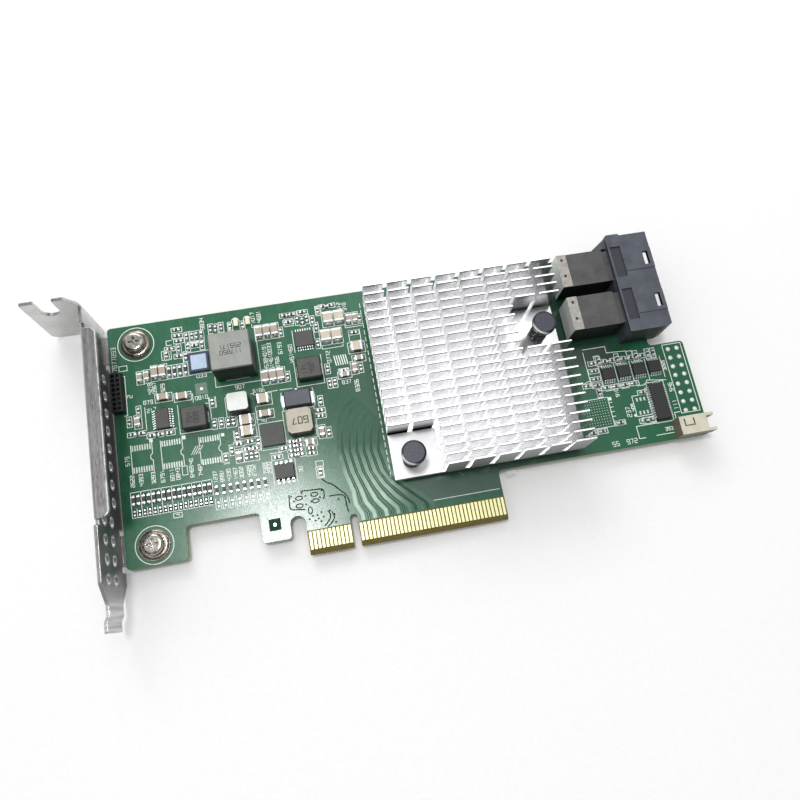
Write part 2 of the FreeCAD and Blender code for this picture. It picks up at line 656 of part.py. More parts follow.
def make_bracket():
    body = new_body("bracket")
    sheet_thick = d("sheet_thick")
    tip_low = plate_low + (d("plate_width") - d("tip_width")) / 2
    tip_high = tip_low + d("tip_width")
    ear_low = plate_low + d("ear_inset")
    ear_high = ear_low + d("ear_width")
    plate = sketch_on(body, "plate_outline", "YZ_Plane", plate_outer)
    add_polygon(plate, [
        (-d("taper_low"), tip_low), (d("taper_top"), plate_low), (ear_under - d("ear_corner"), plate_low),
        (ear_under - 0.4, ear_low), (ear_top, ear_low),
        (ear_top, plate_high), (d("taper_top"), plate_high), (-d("taper_low"), tip_high),
    ])
    pad(body, "plate_sheet", plate, sheet_thick)
    tip = sketch_on(body, "tip_outline", "XY_Plane", tip_low)
    step = d("joggle_step")
    add_polygon(tip, [
        (plate_inner, -d("taper_low")), (plate_inner, -d("joggle_top")),
        (plate_inner - step, -d("joggle_low")), (plate_inner - step, -d("bracket_foot")),
        (plate_outer - step, -d("bracket_foot")), (plate_outer - step, -d("joggle_low")),
        (plate_outer, -d("joggle_top")), (plate_outer, -d("taper_low")),
    ])
    pad(body, "tip_sheet", tip, d("tip_width"))
    ear_tip = plate_outer - d("ear_reach")
    ear = sketch_on(body, "ear_outline", "XZ_Plane", -ear_under)
    add_polygon(ear, [
        (plate_inner, ear_low), (ear_tip + d("ear_corner"), ear_low), (ear_tip, ear_low + d("ear_corner")),
        (ear_tip, ear_high), (plate_outer - 1.8, ear_high), (plate_inner, plate_high),
    ])
    pad(body, "ear_sheet", ear, sheet_thick, True)
    slot_x = plate_outer - d("ear_slot_place")
    slot_half = d("ear_slot_width") / 2
    slot_bottom = ear_high - d("ear_slot_depth") + slot_half
    slot = sketch_on(body, "ear_slot_outline", "XZ_Plane", -(ear_under - 0.5))
    add_rectangle(slot, (slot_x - slot_half, slot_bottom), (slot_x + slot_half, ear_high + 0.5))
    pocket(body, "ear_slot", slot, sheet_thick + 1)
    slot_end = sketch_on(body, "ear_slot_end", "XZ_Plane", -(ear_under - 0.5))
    add_circle(slot_end, slot_x, slot_bottom, slot_half)
    pocket(body, "ear_slot_round", slot_end, sheet_thick + 1)
    flange_end = top - d("flange_drop")
    flange = sketch_on(body, "flange_outline", "XY_Plane", plate_high - sheet_thick)
    flange_x = plate_inner + d("flange_depth")
    add_rectangle(flange, (plate_outer, d("flange_start")), (flange_x, flange_end))
    pad(body, "flange_sheet", flange, sheet_thick)
    lugs = sketch_on(body, "lug_outline", "XY_Plane", -d("board_thick") - sheet_thick)
    half = d("lug_width") / 2
    for y in (screw_low, screw_high):
        add_rectangle(lugs, (plate_outer, y - half), (plate_inner + d("lug_reach"), y + half))
    pad(body, "lug_sheet", lugs, sheet_thick)
    relief = sketch_on(body, "relief_outline", "YZ_Plane", plate_inner + 0.1)
    width, depth = d("relief_width"), d("relief_depth")
    for start in (d("flange_start") - width, flange_end):
        add_rectangle(relief, (start, plate_high - depth), (start + width, plate_high + 0.1))
    under_lug = -d("board_thick") - sheet_thick
    for y in (screw_low, screw_high):
        low_side, high_side = y - half, y + half
        add_polygon(relief, [
            (low_side - width, plate_low - 0.1), (high_side + width, plate_low - 0.1),
            (high_side + width, under_lug + depth), (high_side, under_lug + depth),
            (high_side, under_lug), (low_side, under_lug),
            (low_side, under_lug + depth), (low_side - width, under_lug + depth),
        ])
    pocket(body, "bend_relief", relief, sheet_thick + 0.2)
    vents = sketch_on(body, "vent_outline", "YZ_Plane", plate_inner + 0.1)
    for first, total, place in ((0, 4, "vent_low_place"), (4, 8, "vent_high_place")):
        for row in range(first, first + total):
            for column in range(2):
                z = plate_low + d(place) + d("vent_spacing") * column
                add_circle(vents, d("vent_start") + d("vent_pitch") * row + first * 0.1, z, d("vent_radius"))
    pocket(body, "vent_holes", vents, sheet_thick + 0.2)
    taps = sketch_on(body, "tap_outline", "XY_Plane", -d("board_thick") + 0.1)
    for y in (screw_low, screw_high):
        add_circle(taps, screw_x, y, d("screw_radius") + d("thread_clear"))
    pocket(body, "tapped_holes", taps, sheet_thick + 0.3)
    round_edges(body, "flange_corners", d("flange_corner"), upright_at([
        (flange_x, d("flange_start")), (flange_x, flange_end),
    ]))
    ear_line = (plate_inner.value, ear_top.value)
    round_edges(body, "ear_bend", d("bend_round"), lambda edge: along_z_at(edge, *ear_line))
    flange_line = (plate_outer.value, plate_high.value, (flange_end - d("flange_start")).value / 2)
    round_edges(body, "flange_bend", d("bend_round"), lambda edge: along_y_at(edge, *flange_line))
    lug_line = (plate_outer.value, under_lug.value, half.value)
    round_edges(body, "lug_bends", d("bend_round"), lambda edge: along_y_at(edge, *lug_line))


def along_z_at(edge, x, y):
    ends = [vertex.Point for vertex in edge.Vertexes]
    long_enough = abs(ends[0].z - ends[-1].z) > 3
    return long_enough and all(math.hypot(p.x - x, p.y - y) < 0.02 for p in ends)


def along_y_at(edge, x, z, least):
    ends = [vertex.Point for vertex in edge.Vertexes]
    long_enough = abs(ends[0].y - ends[-1].y) > least
    return long_enough and all(math.hypot(p.x - x, p.z - z) < 0.02 for p in ends)


def make_screws():
    low = d("washer_thick")
    heads = []
    washers = []
    for index, y in enumerate((screw_low, screw_high)):
        place = (screw_x, y)
        shaft = cylinder(f"screw_shaft_{index}", place, -d("screw_length"), d("screw_radius"),
                         d("screw_length") + low + 0.1)
        head = cylinder(f"screw_head_{index}", place, low, d("head_radius"), d("head_height"))
        rim = doc.addObject("Part::Fillet", f"screw_rim_{index}")
        rim.Base = head
        doc.recompute()
        upper = low.value + d("head_height").value
        rim.Edges = [(i + 1, 0.85, 0.85) for i, edge in enumerate(head.Shape.Edges)
                     if len(edge.Vertexes) == 1 and abs(edge.Vertexes[0].Point.z - upper) < 1e-4]
        bars = []
        span, width = d("recess_span"), d("recess_width")
        for turn, (long, wide) in enumerate(((span, width), (width, span))):
            bars.append(centred_box(f"recess_{index}_{turn}", place, (long, wide, d("recess_depth") + 0.1),
                                    low + d("head_height") - d("recess_depth")))
        solid = fuse(f"screw_solid_{index}", [shaft, rim])
        heads.append(cut(f"screw_{index}", solid, fuse(f"recess_{index}", bars)))
        disc = cylinder(f"washer_disc_{index}", place, 0, d("washer_radius"), low)
        bore = cylinder(f"washer_bore_{index}", place, -0.1, d("screw_radius") + d("hole_clear"), low + 0.2)
        washers.append(cut(f"washer_{index}", disc, bore))
    keep(fuse("screw_pair", heads), "bracket_screws")
    keep(fuse("washer_pair", washers), "bracket_washers")


stack_substrate = d("ball_height")
stack_lid = stack_substrate + d("substrate_thick")
stack_pad = stack_lid + d("lid_thick")
sink_base = stack_pad + d("pad_thick")
sink_floor = sink_base + d("base_thick")
sink_top = sink_floor + d("fin_height")
sink_high = sink_low + d("sink_depth")


def make_heat_sink():
    body = new_body("heat_sink")
    base = sketch_on(body, "base_outline", "XY_Plane", sink_base)
    add_rectangle(base, (d("sink_left"), sink_low), (sink_right, sink_high))
    pad(body, "base_plate", base, d("base_thick"))
    rows, columns = count("fin_rows"), count("fin_columns")
    row_pitch = (d("sink_depth") - d("fin_thick")) / (d("fin_rows") - 1)
    fin = sketch_on(body, "fin_outline", "XY_Plane", sink_floor)
    add_rectangle(fin, (d("sink_left"), sink_low), (sink_right, sink_low + d("fin_thick")))
    fin_pad = pad(body, "fin", fin, d("fin_height"))
    repeat(body, "fins", fin_pad, fin, "V_Axis", rows, row_pitch * (d("fin_rows") - 1))
    segment = (d("sink_width") - (d("fin_columns") - 1) * d("fin_gap")) / d("fin_columns")
    column_pitch = segment + d("fin_gap")
    groove = sketch_on(body, "groove_outline", "XY_Plane", sink_top)
    add_rectangle(groove, (d("sink_left") + segment, sink_low - 0.5),
                  (d("sink_left") + column_pitch, sink_high + 0.5))
    groove_cut = pocket(body, "groove", groove, d("fin_height"))
    repeat(body, "grooves", groove_cut, groove, "H_Axis", columns - 1, column_pitch * (d("fin_columns") - 2))
    clear_width = column_pitch * d("clear_columns") - d("fin_gap") / 2
    gap = row_pitch - d("fin_thick")
    clear = sketch_on(body, "clear_outline", "XY_Plane", sink_top)
    add_rectangle(clear, (d("sink_left") - 0.5, sink_low - 0.5),
                  (d("sink_left") + clear_width, sink_low + row_pitch * d("clear_rows") - gap / 2))
    far_low = sink_low + row_pitch * d("clear_first") - gap / 2
    add_rectangle(clear, (sink_right - clear_width, far_low),
                  (sink_right + 0.5, far_low + row_pitch * d("clear_rows")))
    pocket(body, "cleared_corners", clear, d("fin_height"))
    drill = sketch_on(body, "sink_holes", "XY_Plane", sink_top)
    for x, y in (pin_near, pin_far):
        add_circle(drill, x, y, d("pin_radius") + d("hole_clear"))
    pocket(body, "sink_drilling", drill)


def make_pins():
    pins = []
    under = -d("board_thick") - 0.03
    for index, place in enumerate((pin_near, pin_far)):
        cap_low = sink_top - d("pin_cap_thick")
        collar_low = cap_low - d("pin_collar_thick")
        shaft = cylinder(f"pin_shaft_{index}", place, under - 0.05, d("pin_radius"), collar_low - under + 0.1)
        collar = cylinder(f"pin_collar_{index}", place, collar_low, d("pin_collar_radius"),
                          d("pin_collar_thick"))
        rim = cylinder(f"pin_cap_{index}", place, cap_low, d("pin_cap_radius"), d("pin_cap_thick") - 0.35)
        dome = cone(f"pin_dome_{index}", place, sink_top - 0.35, d("pin_cap_radius"),
                    d("pin_cap_radius") - 0.45, 0.35)
        barb = cone(f"pin_barb_{index}", place, under - d("barb_length"), d("pin_radius") * 0.6,
                    d("barb_radius"), d("barb_length"))
        pins.append(fuse(f"pin_{index}", [shaft, collar, rim, dome, barb]))
    keep(fuse("pin_pair", pins), "push_pins")


def make_springs():
    wire, radius = val("coil_wire"), val("coil_radius")
    low = sink_floor.value + wire
    high = (sink_top - d("pin_cap_thick") - d("pin_collar_thick")).value - wire
    springs = []
    for x, y in (pin_near, pin_far):
        helix = Part.makeHelix((high - low) / val("coil_turns"), high - low, radius)
        ring = Part.Wire(Part.makeCircle(wire, Vector(radius, 0, 0), Vector(0, 1, 0)))
        coil = Part.Wire(helix).makePipeShell([ring], True, True)
        coil.translate(Vector(x.value, y.value, low))
        springs.append(coil)
    group("push_pin_springs", springs)


def make_controller():
    centre = ((pin_near[0] + pin_far[0]) / 2, (pin_near[1] + pin_far[1]) / 2)
    for label, side, low, high in (
        ("thermal_pad", "pad_side", stack_pad, "pad_thick"),
        ("controller_lid", "lid_side", stack_lid, "lid_thick"),
        ("controller_substrate", "substrate_side", stack_substrate, "substrate_thick"),
    ):
        keep(centred_box(label + "_block", centre, (d(side), d(side), d(high)), low), label)
    total = count("ball_count")
    pitch = val("substrate_side") / (total + 0.5)
    balls = []
    for i in range(total):
        for j in range(total):
            x = centre[0].value + pitch * (i - (total - 1) / 2)
            y = centre[1].value + pitch * (j - (total - 1) / 2)
            balls.append(Part.makeCylinder(val("ball_radius"), val("ball_height"), Vector(x, y, 0)))
    group("controller_balls", balls)


housing_front = step_x + d("housing_out")
housing_back = housing_front - d("housing_depth")
housing_high = top + d("housing_over")
housing_low = housing_high - d("housing_width")
housing_mid = housing_high - d("housing_width") / 2
port_centres = (housing_mid + d("port_pitch") / 2, housing_mid - d("port_pitch") / 2)
cavity_mid = d("cavity_floor") + d("cavity_height") / 2
block_front = housing_back - d("block_gap")
block_back = block_front - d("block_long")
nose_front = housing_back + d("nose_in")


def make_port_housing():
    body = new_body("port_housing")
    corner = d("housing_corner")
    outline = sketch_on(body, "housing_outline", "XY_Plane", 0)
    bump = d("housing_bump")
    add_polygon(outline, [
        (housing_back, housing_low), (housing_front - corner * 1.5, housing_low),
        (housing_front, housing_low + corner / 2), (housing_front, housing_high),
        (housing_back + 4.2, housing_high), (housing_back + 3.7, housing_high + bump),
        (housing_back + 0.4, housing_high + bump), (housing_back, housing_high),
    ])
    pad(body, "housing_block", outline, d("housing_top"))
    gusset = sketch_on(body, "gusset_outline", "XY_Plane", 0)
    gusset_low = port_centres[0] + d("block_width") / 2 + 0.25
    add_polygon(gusset, [
        (housing_back - d("gusset_long"), gusset_low), (housing_back, gusset_low), (housing_back, housing_high),
    ])
    pad(body, "gusset_block", gusset, d("gusset_top"))
    panels = sketch_on(body, "panel_outline", "XY_Plane", d("housing_top"))
    half = d("panel_wide") / 2
    for y in port_centres:
        add_rectangle(panels, (housing_front - d("panel_long"), y - half), (housing_front, y + half))
    pad(body, "latch_panels", panels, d("panel_rise"))
    cavities = sketch_on(body, "cavity_outline", "YZ_Plane", housing_front)
    half = d("cavity_width") / 2
    for y in port_centres:
        add_rectangle(cavities, (y - half, d("cavity_floor")), (y + half, d("cavity_floor") + d("cavity_height")))
    pocket(body, "port_cavities", cavities, d("cavity_depth"))
    passage = sketch_on(body, "passage_outline", "YZ_Plane", housing_front)
    half = d("nose_width") / 2 + d("nose_clear")
    rise = d("nose_height") / 2 + d("nose_clear")
    for y in port_centres:
        add_rectangle(passage, (y - half, cavity_mid - rise), (y + half, cavity_mid + rise))
    pocket(body, "nose_passages", passage, d("housing_depth") + 0.5)
    dishes = sketch_on(body, "dish_outline", "XY_Plane", d("housing_top"))
    half = d("dish_wide") / 2
    for y in port_centres:
        add_rectangle(dishes, (housing_back + 0.6, y - half), (housing_back + 0.6 + d("dish_long"), y + half))
    pocket(body, "dishes", dishes, d("dish_depth"))
    windows = sketch_on(body, "window_outline", "XY_Plane", d("housing_top") + d("panel_rise"))
    half = d("window_wide") / 2
    for y in port_centres:
        front = housing_front - d("window_back")
        add_rectangle(windows, (front - d("window_long"), y - half), (front, y + half))
    pocket(body, "latch_windows", windows, d("housing_top") + d("panel_rise") - cavity_mid)


def make_wafer_block(label, y):
    body = new_body(label)
    half = d("block_width") / 2
    main = sketch_on(body, label + "_outline", "XY_Plane", d("block_low"))
    add_rectangle(main, (block_back, y - half), (block_front, y + half))
    pad(body, label + "_main", main, d("block_top") - d("block_low"))
    nose = sketch_on(body, label + "_nose_outline", "YZ_Plane", block_front)
    half, rise = d("nose_width") / 2, d("nose_height") / 2
    add_rectangle(nose, (y - half, cavity_mid - rise), (y + half, cavity_mid + rise))
    pad(body, label + "_nose", nose, nose_front - block_front)
    slots = sketch_on(body, label + "_slot_outline", "YZ_Plane", nose_front)
    half, rise = d("card_slot_width") / 2, d("card_slot_high") / 2
    for side in (-0.5, 0.5):
        z = cavity_mid + d("card_slot_pitch") * side
        add_rectangle(slots, (y - half, z - rise), (y + half, z + rise))
    pocket(body, label + "_slots", slots, d("card_slot_deep"))


def make_port_details():
    caps = []
    holes = []
    hole = d("end_cap_hole")
    sheet_thick = d("end_cap_sheet")
    for index, y in enumerate(port_centres):
        low_side = y - d("block_width") / 2
        caps.append(box(f"end_cap_top_{index}", (block_back - sheet_thick, low_side, d("block_top")),
                        (d("end_cap_long"), d("block_width"), sheet_thick)))
        caps.append(box(f"end_cap_back_{index}", (block_back - sheet_thick, low_side, d("block_low")),
                        (sheet_thick, d("block_width"), d("block_top") - d("block_low"))))
        for place, share in enumerate((0.33, 0.83)):
            centre = (block_back - sheet_thick + d("end_cap_long") / 2, low_side + d("block_width") * share)
            holes.append(centred_box(f"end_cap_hole_{index}_{place}", centre, (hole, hole, sheet_thick * 2),
                                     d("block_top")))
    keep(cut("end_caps", fuse("end_cap_sheets", caps), fuse("end_cap_holes", holes)), "wafer_end_caps")
    strips = []
    tails = []
    thick, width = val("strip_thick"), val("strip_width")
    length = val("card_slot_deep")
    total = count("strip_count")
    for centre in port_centres:
        for i in range(total):
            y = centre.value + val("strip_pitch") * (i - (total - 1) / 2)
            for side in (-0.5, 0.5):
                z = cavity_mid.value + val("card_slot_pitch") * side
                rise = val("card_slot_high") / 2
                for low in (z - rise, z + rise - thick):
                    strips.append(block(nose_front.value - length / 2, y, low, length, width, thick))
            for j in range(count("tail_rows")):
                x = block_back.value + val("block_long") * (j + 0.5) / val("tail_rows")
                tails.append(block(x, y, 0, val("tail_side"), val("tail_side"), val("block_low")))
    group("port_contacts", strips)
    group("port_solder_tails", tails)


def make_chokes():
    thick = d("terminal_thick")
    place = (left + d("choke_x"), top - d("choke_drop"))
    core = centred_box("choke_block", place, (d("choke_long"), d("choke_wide"), d("choke_high") - thick), thick)
    keep(soften("choke_soft", core, d("choke_round"), top_outline), "large_choke_core")
    lugs = []
    for index, side in enumerate((-1, 1)):
        y = place[1] + side * (d("choke_wide") - d("lug_under") + d("lug_out")) / 2
        lugs.append(centred_box(f"choke_lug_{index}", (place[0], y),
                                (d("choke_long") * 0.6, d("lug_under") + d("lug_out"), thick), 0))
    keep(fuse("choke_lugs", lugs), "large_choke_terminals")
    place = (-d("cream_x"), shoulder + d("cream_rise"))
    side = d("cream_side")
    base = centred_box("cream_base_block", place, (side + 0.2, side + 0.2, d("cream_base")), 0)
    keep(soften("cream_base_soft", base, d("cream_corner"), upright_only), "cream_choke_base")
    core = centred_box("cream_block", place, (side, side, d("cream_high") - d("cream_base")), d("cream_base"))
    keep(soften("cream_soft", core, d("cream_corner"), upright_only), "cream_choke_core")
    place = (left + d("white_x"), top - d("white_drop"))
    core = centred_box("white_block", place, (d("white_long"), d("white_wide"), d("white_high")), 0)
    keep(soften("white_soft", core, 0.5, upright_only), "white_choke")
    lugs = []
    places = (
        ("dark_choke_left", left + d("dark_left_x"), top - d("dark_left_drop")),
        ("dark_choke_centre", -d("dark_centre_x"), top - d("dark_centre_drop")),
    )
    for label, x, y in places:
        core = centred_box(label + "_block", (x, y), (d("dark_long"), d("dark_wide"), d("dark_high") - thick),
                           thick)
        keep(soften(label + "_soft", core, 0.35, top_outline), label)
        for index, side in enumerate((-1, 1)):
            lug_x = x + side * (d("dark_long") - d("lug_under") + d("lug_out")) / 2
            lugs.append(centred_box(f"{label}_lug_{index}", (lug_x, y),
                                    (d("lug_under") + d("lug_out"), d("dark_wide") * 0.5, thick), 0))
    keep(fuse("dark_lugs", lugs), "dark_choke_terminals")


def upright_only(edge):
    """Picks vertical edges."""
    first = edge.Vertexes[0].Point
    last = edge.Vertexes[-1].Point
    return abs(first.z - last.z) > 0.1


def make_power_parts():
    place = (left + d("stage_x"), top - d("stage_drop"))
    side = d("stage_side")
    keep(centred_box("stage_block", place, (side, side, d("stage_high")), 0), "power_stage_body")
    side = d("stage_plate")
    keep(centred_box("stage_top", place, (side, side, d("stage_plate_high")), d("stage_high")),
         "power_stage_plate")
    place = (-d("diode_x"), top - d("diode_drop"))
    thick = d("terminal_thick")
    core = centred_box("diode_block", place, (d("diode_long"), d("diode_wide"), d("diode_high") - thick), thick)
    keep(soften("diode_soft", core, 0.3, top_outline), "rectifier_body")
    lugs = []
    for index, side in enumerate((-1, 1)):
        x = place[0] + side * (d("diode_long") / 2 - 0.2)
        lugs.append(centred_box(f"diode_lug_{index}", (x, place[1]),
                                (2 * d("terminal_out"), d("diode_wide") * 0.7, thick), 0))
    keep(fuse("diode_lugs", lugs), "rectifier_terminals")
    place = (-d("regulator_x"), shoulder + d("regulator_rise"))
    side = d("regulator_side")
    keep(centred_box("regulator_block", place, (side, side, d("regulator_high")), 0), "regulator_chip")


def lead(high, width):
    """One bent lead that starts on the chip's side and runs along +X."""
    thick, out = val("lead_thick"), val("lead_out")
    middle = high * 0.55
    outline = [
        (0, middle), (out * 0.3, middle), (out * 0.52, 0), (out, 0), (out, thick),
        (out * 0.62, thick), (out * 0.42, middle + thick), (0, middle + thick), (0, middle),
    ]
    wire = Part.makePolygon([Vector(x, -width / 2, z) for x, z in outline])
    return Part.Face(wire).extrude(Vector(0, width, 0))


def lead_rows(x, y, long, wide, high, total, pitch, turn):
    """Leads on both sides of a chip: along X, or along Y when turn is 90."""
    reach = (long if turn == 0 else wide) / 2
    solids = []
    for side in (0, 180):
        for i in range(total):
            item = lead(high, pitch * 0.46)
            item.translate(Vector(reach, pitch * (i - (total - 1) / 2), 0))
            item.rotate(Vector(0, 0, 0), Vector(0, 0, 1), turn + side)
            item.translate(Vector(x, y, 0))
            solids.append(item)
    return solids


def make_leaded_chips():
    chips = (
        ("clock", left + d("clock_x"), top - d("clock_drop"), d("chip_high"), 8, "lead_fine", 0),
        ("driver", -d("driver_x"), top - d("driver_drop"), d("chip_high"), 7, "lead_fine", 90),
        ("flash", -d("flash_x"), shoulder + d("flash_rise"), d("flash_high"), 4, "lead_wide", 90),
        ("memory", right - d("memory_in"), shoulder + d("memory_rise"), d("chip_high"), 14, "lead_fine", 0),
    )
    lift = 0.1
    for name, x, y, high, total, pitch, turn in chips:
        long, wide = d(name + "_long"), d(name + "_wide")
        core = centred_box(name + "_block", (x, y), (long, wide, high), lift)
        keep(soften(name + "_soft", core, 0.14, top_outline), name + "_chip_body")
        group(name + "_chip_leads", lead_rows(x.value, y.value, long.value, wide.value, high.value + lift,
                                              total, val(pitch), turn))
    cores = []
    leads = []
    long, wide, high = d("buffer_long"), d("buffer_wide"), d("chip_high")
    for i in range(4):
        x = right - d("buffer_in") + d("buffer_pitch") * i
        y = shoulder + d("buffer_rise")
        core = centred_box(f"buffer_block_{i}", (x, y), (long, wide, high), lift)
        cores.append(soften(f"buffer_soft_{i}", core, 0.14, top_outline))
        leads += lead_rows(x.value, y.value, long.value, wide.value, high.value + lift, 5, val("lead_fine"), 90)
    keep(fuse("buffer_blocks", cores), "buffer_chip_bodies")
    group("buffer_chip_leads", leads)


# Places of the two-terminal parts: x, y, turn. Turn 0 lies along X, 90 along Y.
# Upper left parts count from the card end and down from the top edge.
UPPER_MID = [(11.6, 14.6, 90), (13.6, 14.6, 90), (13.1, 21.7, 0), (18.0, 22.3, 0)]
UPPER_SMALL = [(9.4, 15.1, 90), (7.6, 15.3, 90), (6.0, 27.2, 90)]
UPPER_ROW = [(15.2, 14.9, 90), (16.65, 14.9, 90), (18.1, 14.9, 90), (19.55, 14.9, 90)]
UPPER_CHIP = [
    (18.3, 3.2, 0), (18.3, 5.0, 0), (18.6, 6.5, 0), (18.4, 8.8, 90), (18.3, 10.8, 0), (20.0, 11.2, 90),
    (16.0, 8.4, 0), (15.0, 10.0, 90), (20.8, 5.7, 90), (22.2, 5.7, 90), (23.4, 5.7, 90), (24.7, 5.7, 90),
    (20.8, 8.6, 90), (22.6, 8.5, 0), (24.6, 8.6, 90), (27.3, 4.4, 90), (28.6, 4.6, 90), (30.2, 4.4, 90),
    (32.6, 4.7, 90), (35.9, 4.9, 90), (3.8, 26.9, 90), (6.4, 24.3, 90), (4.4, 30.4, 0), (6.6, 30.4, 0),
    (9.3, 31.5, 0), (11.4, 31.5, 0), (13.7, 31.5, 0), (25.4, 31.1, 90), (27.2, 31.1, 90), (29.0, 31.3, 90),
    (30.3, 31.3, 90), (25.5, 25.1, 90),
]
# Upper middle parts count from the key notch and down from the top edge.
MIDDLE_LARGE = [
    (1.85, 6.8, 90), (4.9, 6.8, 90), (0.5, 11.9, 90), (3.5, 11.9, 90), (8.3, 16.2, 0),
    (-23.6, 31.6, 0), (-23.6, 34.6, 0), (-18.5, 26.6, 0),
]
MIDDLE_MID = [
    (-17.1, 7.7, 90), (-15.0, 7.7, 90), (-12.9, 7.7, 90),
    (-17.1, 20.6, 90), (-15.0, 20.6, 90), (-12.9, 20.6, 90), (-18.4, 30.7, 0),
]
MIDDLE_SMALL = [(7.4, 7.7, 90), (9.2, 7.7, 90), (8.4, 19.4, 0), (6.8, 21.9, 90), (3.9, 23.4, 0)]
MIDDLE_CHIP = [
    (-9.6, 3.8, 0), (-7.7, 3.8, 0), (-4.7, 3.6, 0), (-8.9, 5.9, 0), (-6.4, 5.8, 90), (-5.1, 6.2, 90),
    (-3.8, 5.8, 90), (-2.4, 6.5, 90), (-1.6, 8.6, 90), (-11.3, 8.4, 90), (-11.2, 21.3, 90), (-1.9, 13.4, 90),
    (10.5, 8.1, 90), (8.3, 11.8, 0), (-0.5, 3.9, 90), (1.2, 2.9, 0), (3.0, 2.9, 0), (-0.4, 25.1, 90),
    (1.0, 25.1, 90), (8.5, 22.1, 90), (-0.4, 21.0, 90), (3.8, 22.2, 0), (-3.6, 29.5, 90),
]
# Lower middle parts count from the key notch and up from the shoulder.
LOWER_SMALL = [(-4.5, 18.2, 90), (-26.5, 15.4, 90), (-8.0, 15.8, 0)]
LOWER_CHIP = [
    (-12.7, 16.8, 0), (-10.95, 16.8, 0), (-12.7, 15.6, 0), (-10.95, 15.6, 0), (-12.7, 14.4, 0),
    (-10.95, 14.4, 0), (-12.7, 13.2, 0), (-10.95, 13.2, 0), (-8.0, 14.3, 0), (-8.0, 13.0, 0), (-6.5, 7.8, 90),
    (-17.0, 13.4, 0), (-14.9, 15.4, 0), (-2.7, 17.7, 90), (-4.2, 24.0, 0), (-4.2, 22.5, 0), (-26.4, 20.9, 90),
    (-26.2, 18.6, 0), (-23.3, 18.8, 0), (-21.2, 18.3, 90), (-28.2, 17.3, 90), (-24.3, 16.8, 0), (-22.3, 16.8, 0),
    (-24.7, 15.0, 90), (-23.4, 15.0, 90), (-22.1, 15.0, 90), (-29.9, 15.4, 90),
]
# Free-end parts count back from the free end and up from the shoulder.
RIGHT_CHIP = [
    (26.5, 24.5, 0), (24.9, 24.8, 90), (23.2, 24.5, 0), (21.2, 24.5, 0), (19.6, 24.8, 90), (17.9, 24.5, 0),
    (15.8, 24.5, 0), (14.2, 24.8, 90), (12.5, 24.5, 0), (10.8, 24.8, 90), (9.2, 24.8, 90), (24.6, 17.1, 0),
    (22.0, 17.1, 0), (19.4, 17.1, 0), (16.8, 17.1, 0), (29.6, 18.4, 0), (27.0, 18.2, 0), (26.9, 16.1, 90),
    (27.0, 22.3, 0), (27.0, 20.0, 0), (16.7, 6.4, 0), (15.1, 6.4, 0), (28.8, 5.5, 0), (31.4, 5.4, 0),
    (23.4, 7.0, 0), (15.1, 14.2, 0),
]


def card_places(upper=(), middle=(), lower=(), free=()):
    """Places on the card from the four ways of counting."""
    x_left, x_right = left.value, right.value
    y_top, y_low = top.value, shoulder.value
    places = [(x_left + x, y_top - y, turn) for x, y, turn in upper]
    places += [(x, y_top - y, turn) for x, y, turn in middle]
    places += [(x, y_low + y, turn) for x, y, turn in lower]
    places += [(x_right - x, y_low + y, turn) for x, y, turn in free]
    return places


def two_terminal_parts(places, long, wide, high, cap_share, rounding):
    """Bodies between two metal ends: a list of bodies and a list of ends."""
    cap = long * cap_share
    cores = []
    caps = []
    for x, y, turn in places:
        cores.append(block(x, y, 0.02, long - 2 * cap, wide - 0.06, high - 0.05, turn))
        for side in (-1, 1):
            end = Part.makeBox(cap, wide, high, Vector(-cap / 2, -wide / 2, 0))
            outer = [edge for edge in end.Edges
                     if all(abs(v.Point.x - side * cap / 2) < 1e-6 for v in edge.Vertexes)]
            end = end.makeChamfer(rounding, outer)
            end.translate(Vector(side * (long - cap) / 2, 0, 0))
            end.rotate(Vector(0, 0, 0), Vector(0, 0, 1), turn)
            end.translate(Vector(x, y, 0))
            caps.append(end)
    return cores, caps


def make_passives():
    large = card_places(middle=MIDDLE_LARGE)
    cores, caps = two_terminal_parts(large, val("large_cap_long"), val("large_cap_wide"),
                                     val("large_cap_high"), 0.18, 0.12)
    group("large_capacitor_bodies", cores)
    group("large_capacitor_terminals", caps)
    mid = card_places(UPPER_MID, MIDDLE_MID)
    cores, caps = two_terminal_parts(mid, val("mid_cap_long"), val("mid_cap_wide"), val("mid_cap_high"),
                                     0.18, 0.1)
    group("mid_capacitor_bodies", cores)
    group("mid_capacitor_terminals", caps)
    small = card_places(UPPER_SMALL, MIDDLE_SMALL, LOWER_SMALL)
    cores, caps = two_terminal_parts(small, val("small_cap_long"), val("small_cap_wide"),
                                     val("small_cap_high"), 0.22, 0.08)
    group("small_capacitor_bodies", cores)
    group("small_capacitor_terminals", caps)
    chips = card_places(UPPER_CHIP, MIDDLE_CHIP, LOWER_CHIP, RIGHT_CHIP)
    cores, caps = two_terminal_parts(chips, val("chip_long"), val("chip_wide"), val("chip_rise"), 0.27, 0.05)
    row = [(val("array_start") + val("array_pitch") * i, val("array_rise")) for i in range(16)]
    row += [(val("pair_start") + val("pair_pitch") * i, val("pair_rise")) for i in range(8)]
    row = [(left.value + x, shoulder.value + y, 90) for x, y in row] + card_places(UPPER_ROW)
    row_cores, row_caps = two_terminal_parts(row, val("row_long"), val("row_wide"), val("chip_rise"), 0.2, 0.05)
    group("chip_resistor_bodies", cores + row_cores)
    group("chip_resistor_terminals", caps + row_caps)
    lights = card_places([(34.3, 3.8, 90), (37.5, 3.8, 90)])
    group("status_leds", [block(x, y, 0, val("led_long"), val("led_wide"), val("led_high"), turn)
                          for x, y, turn in lights])


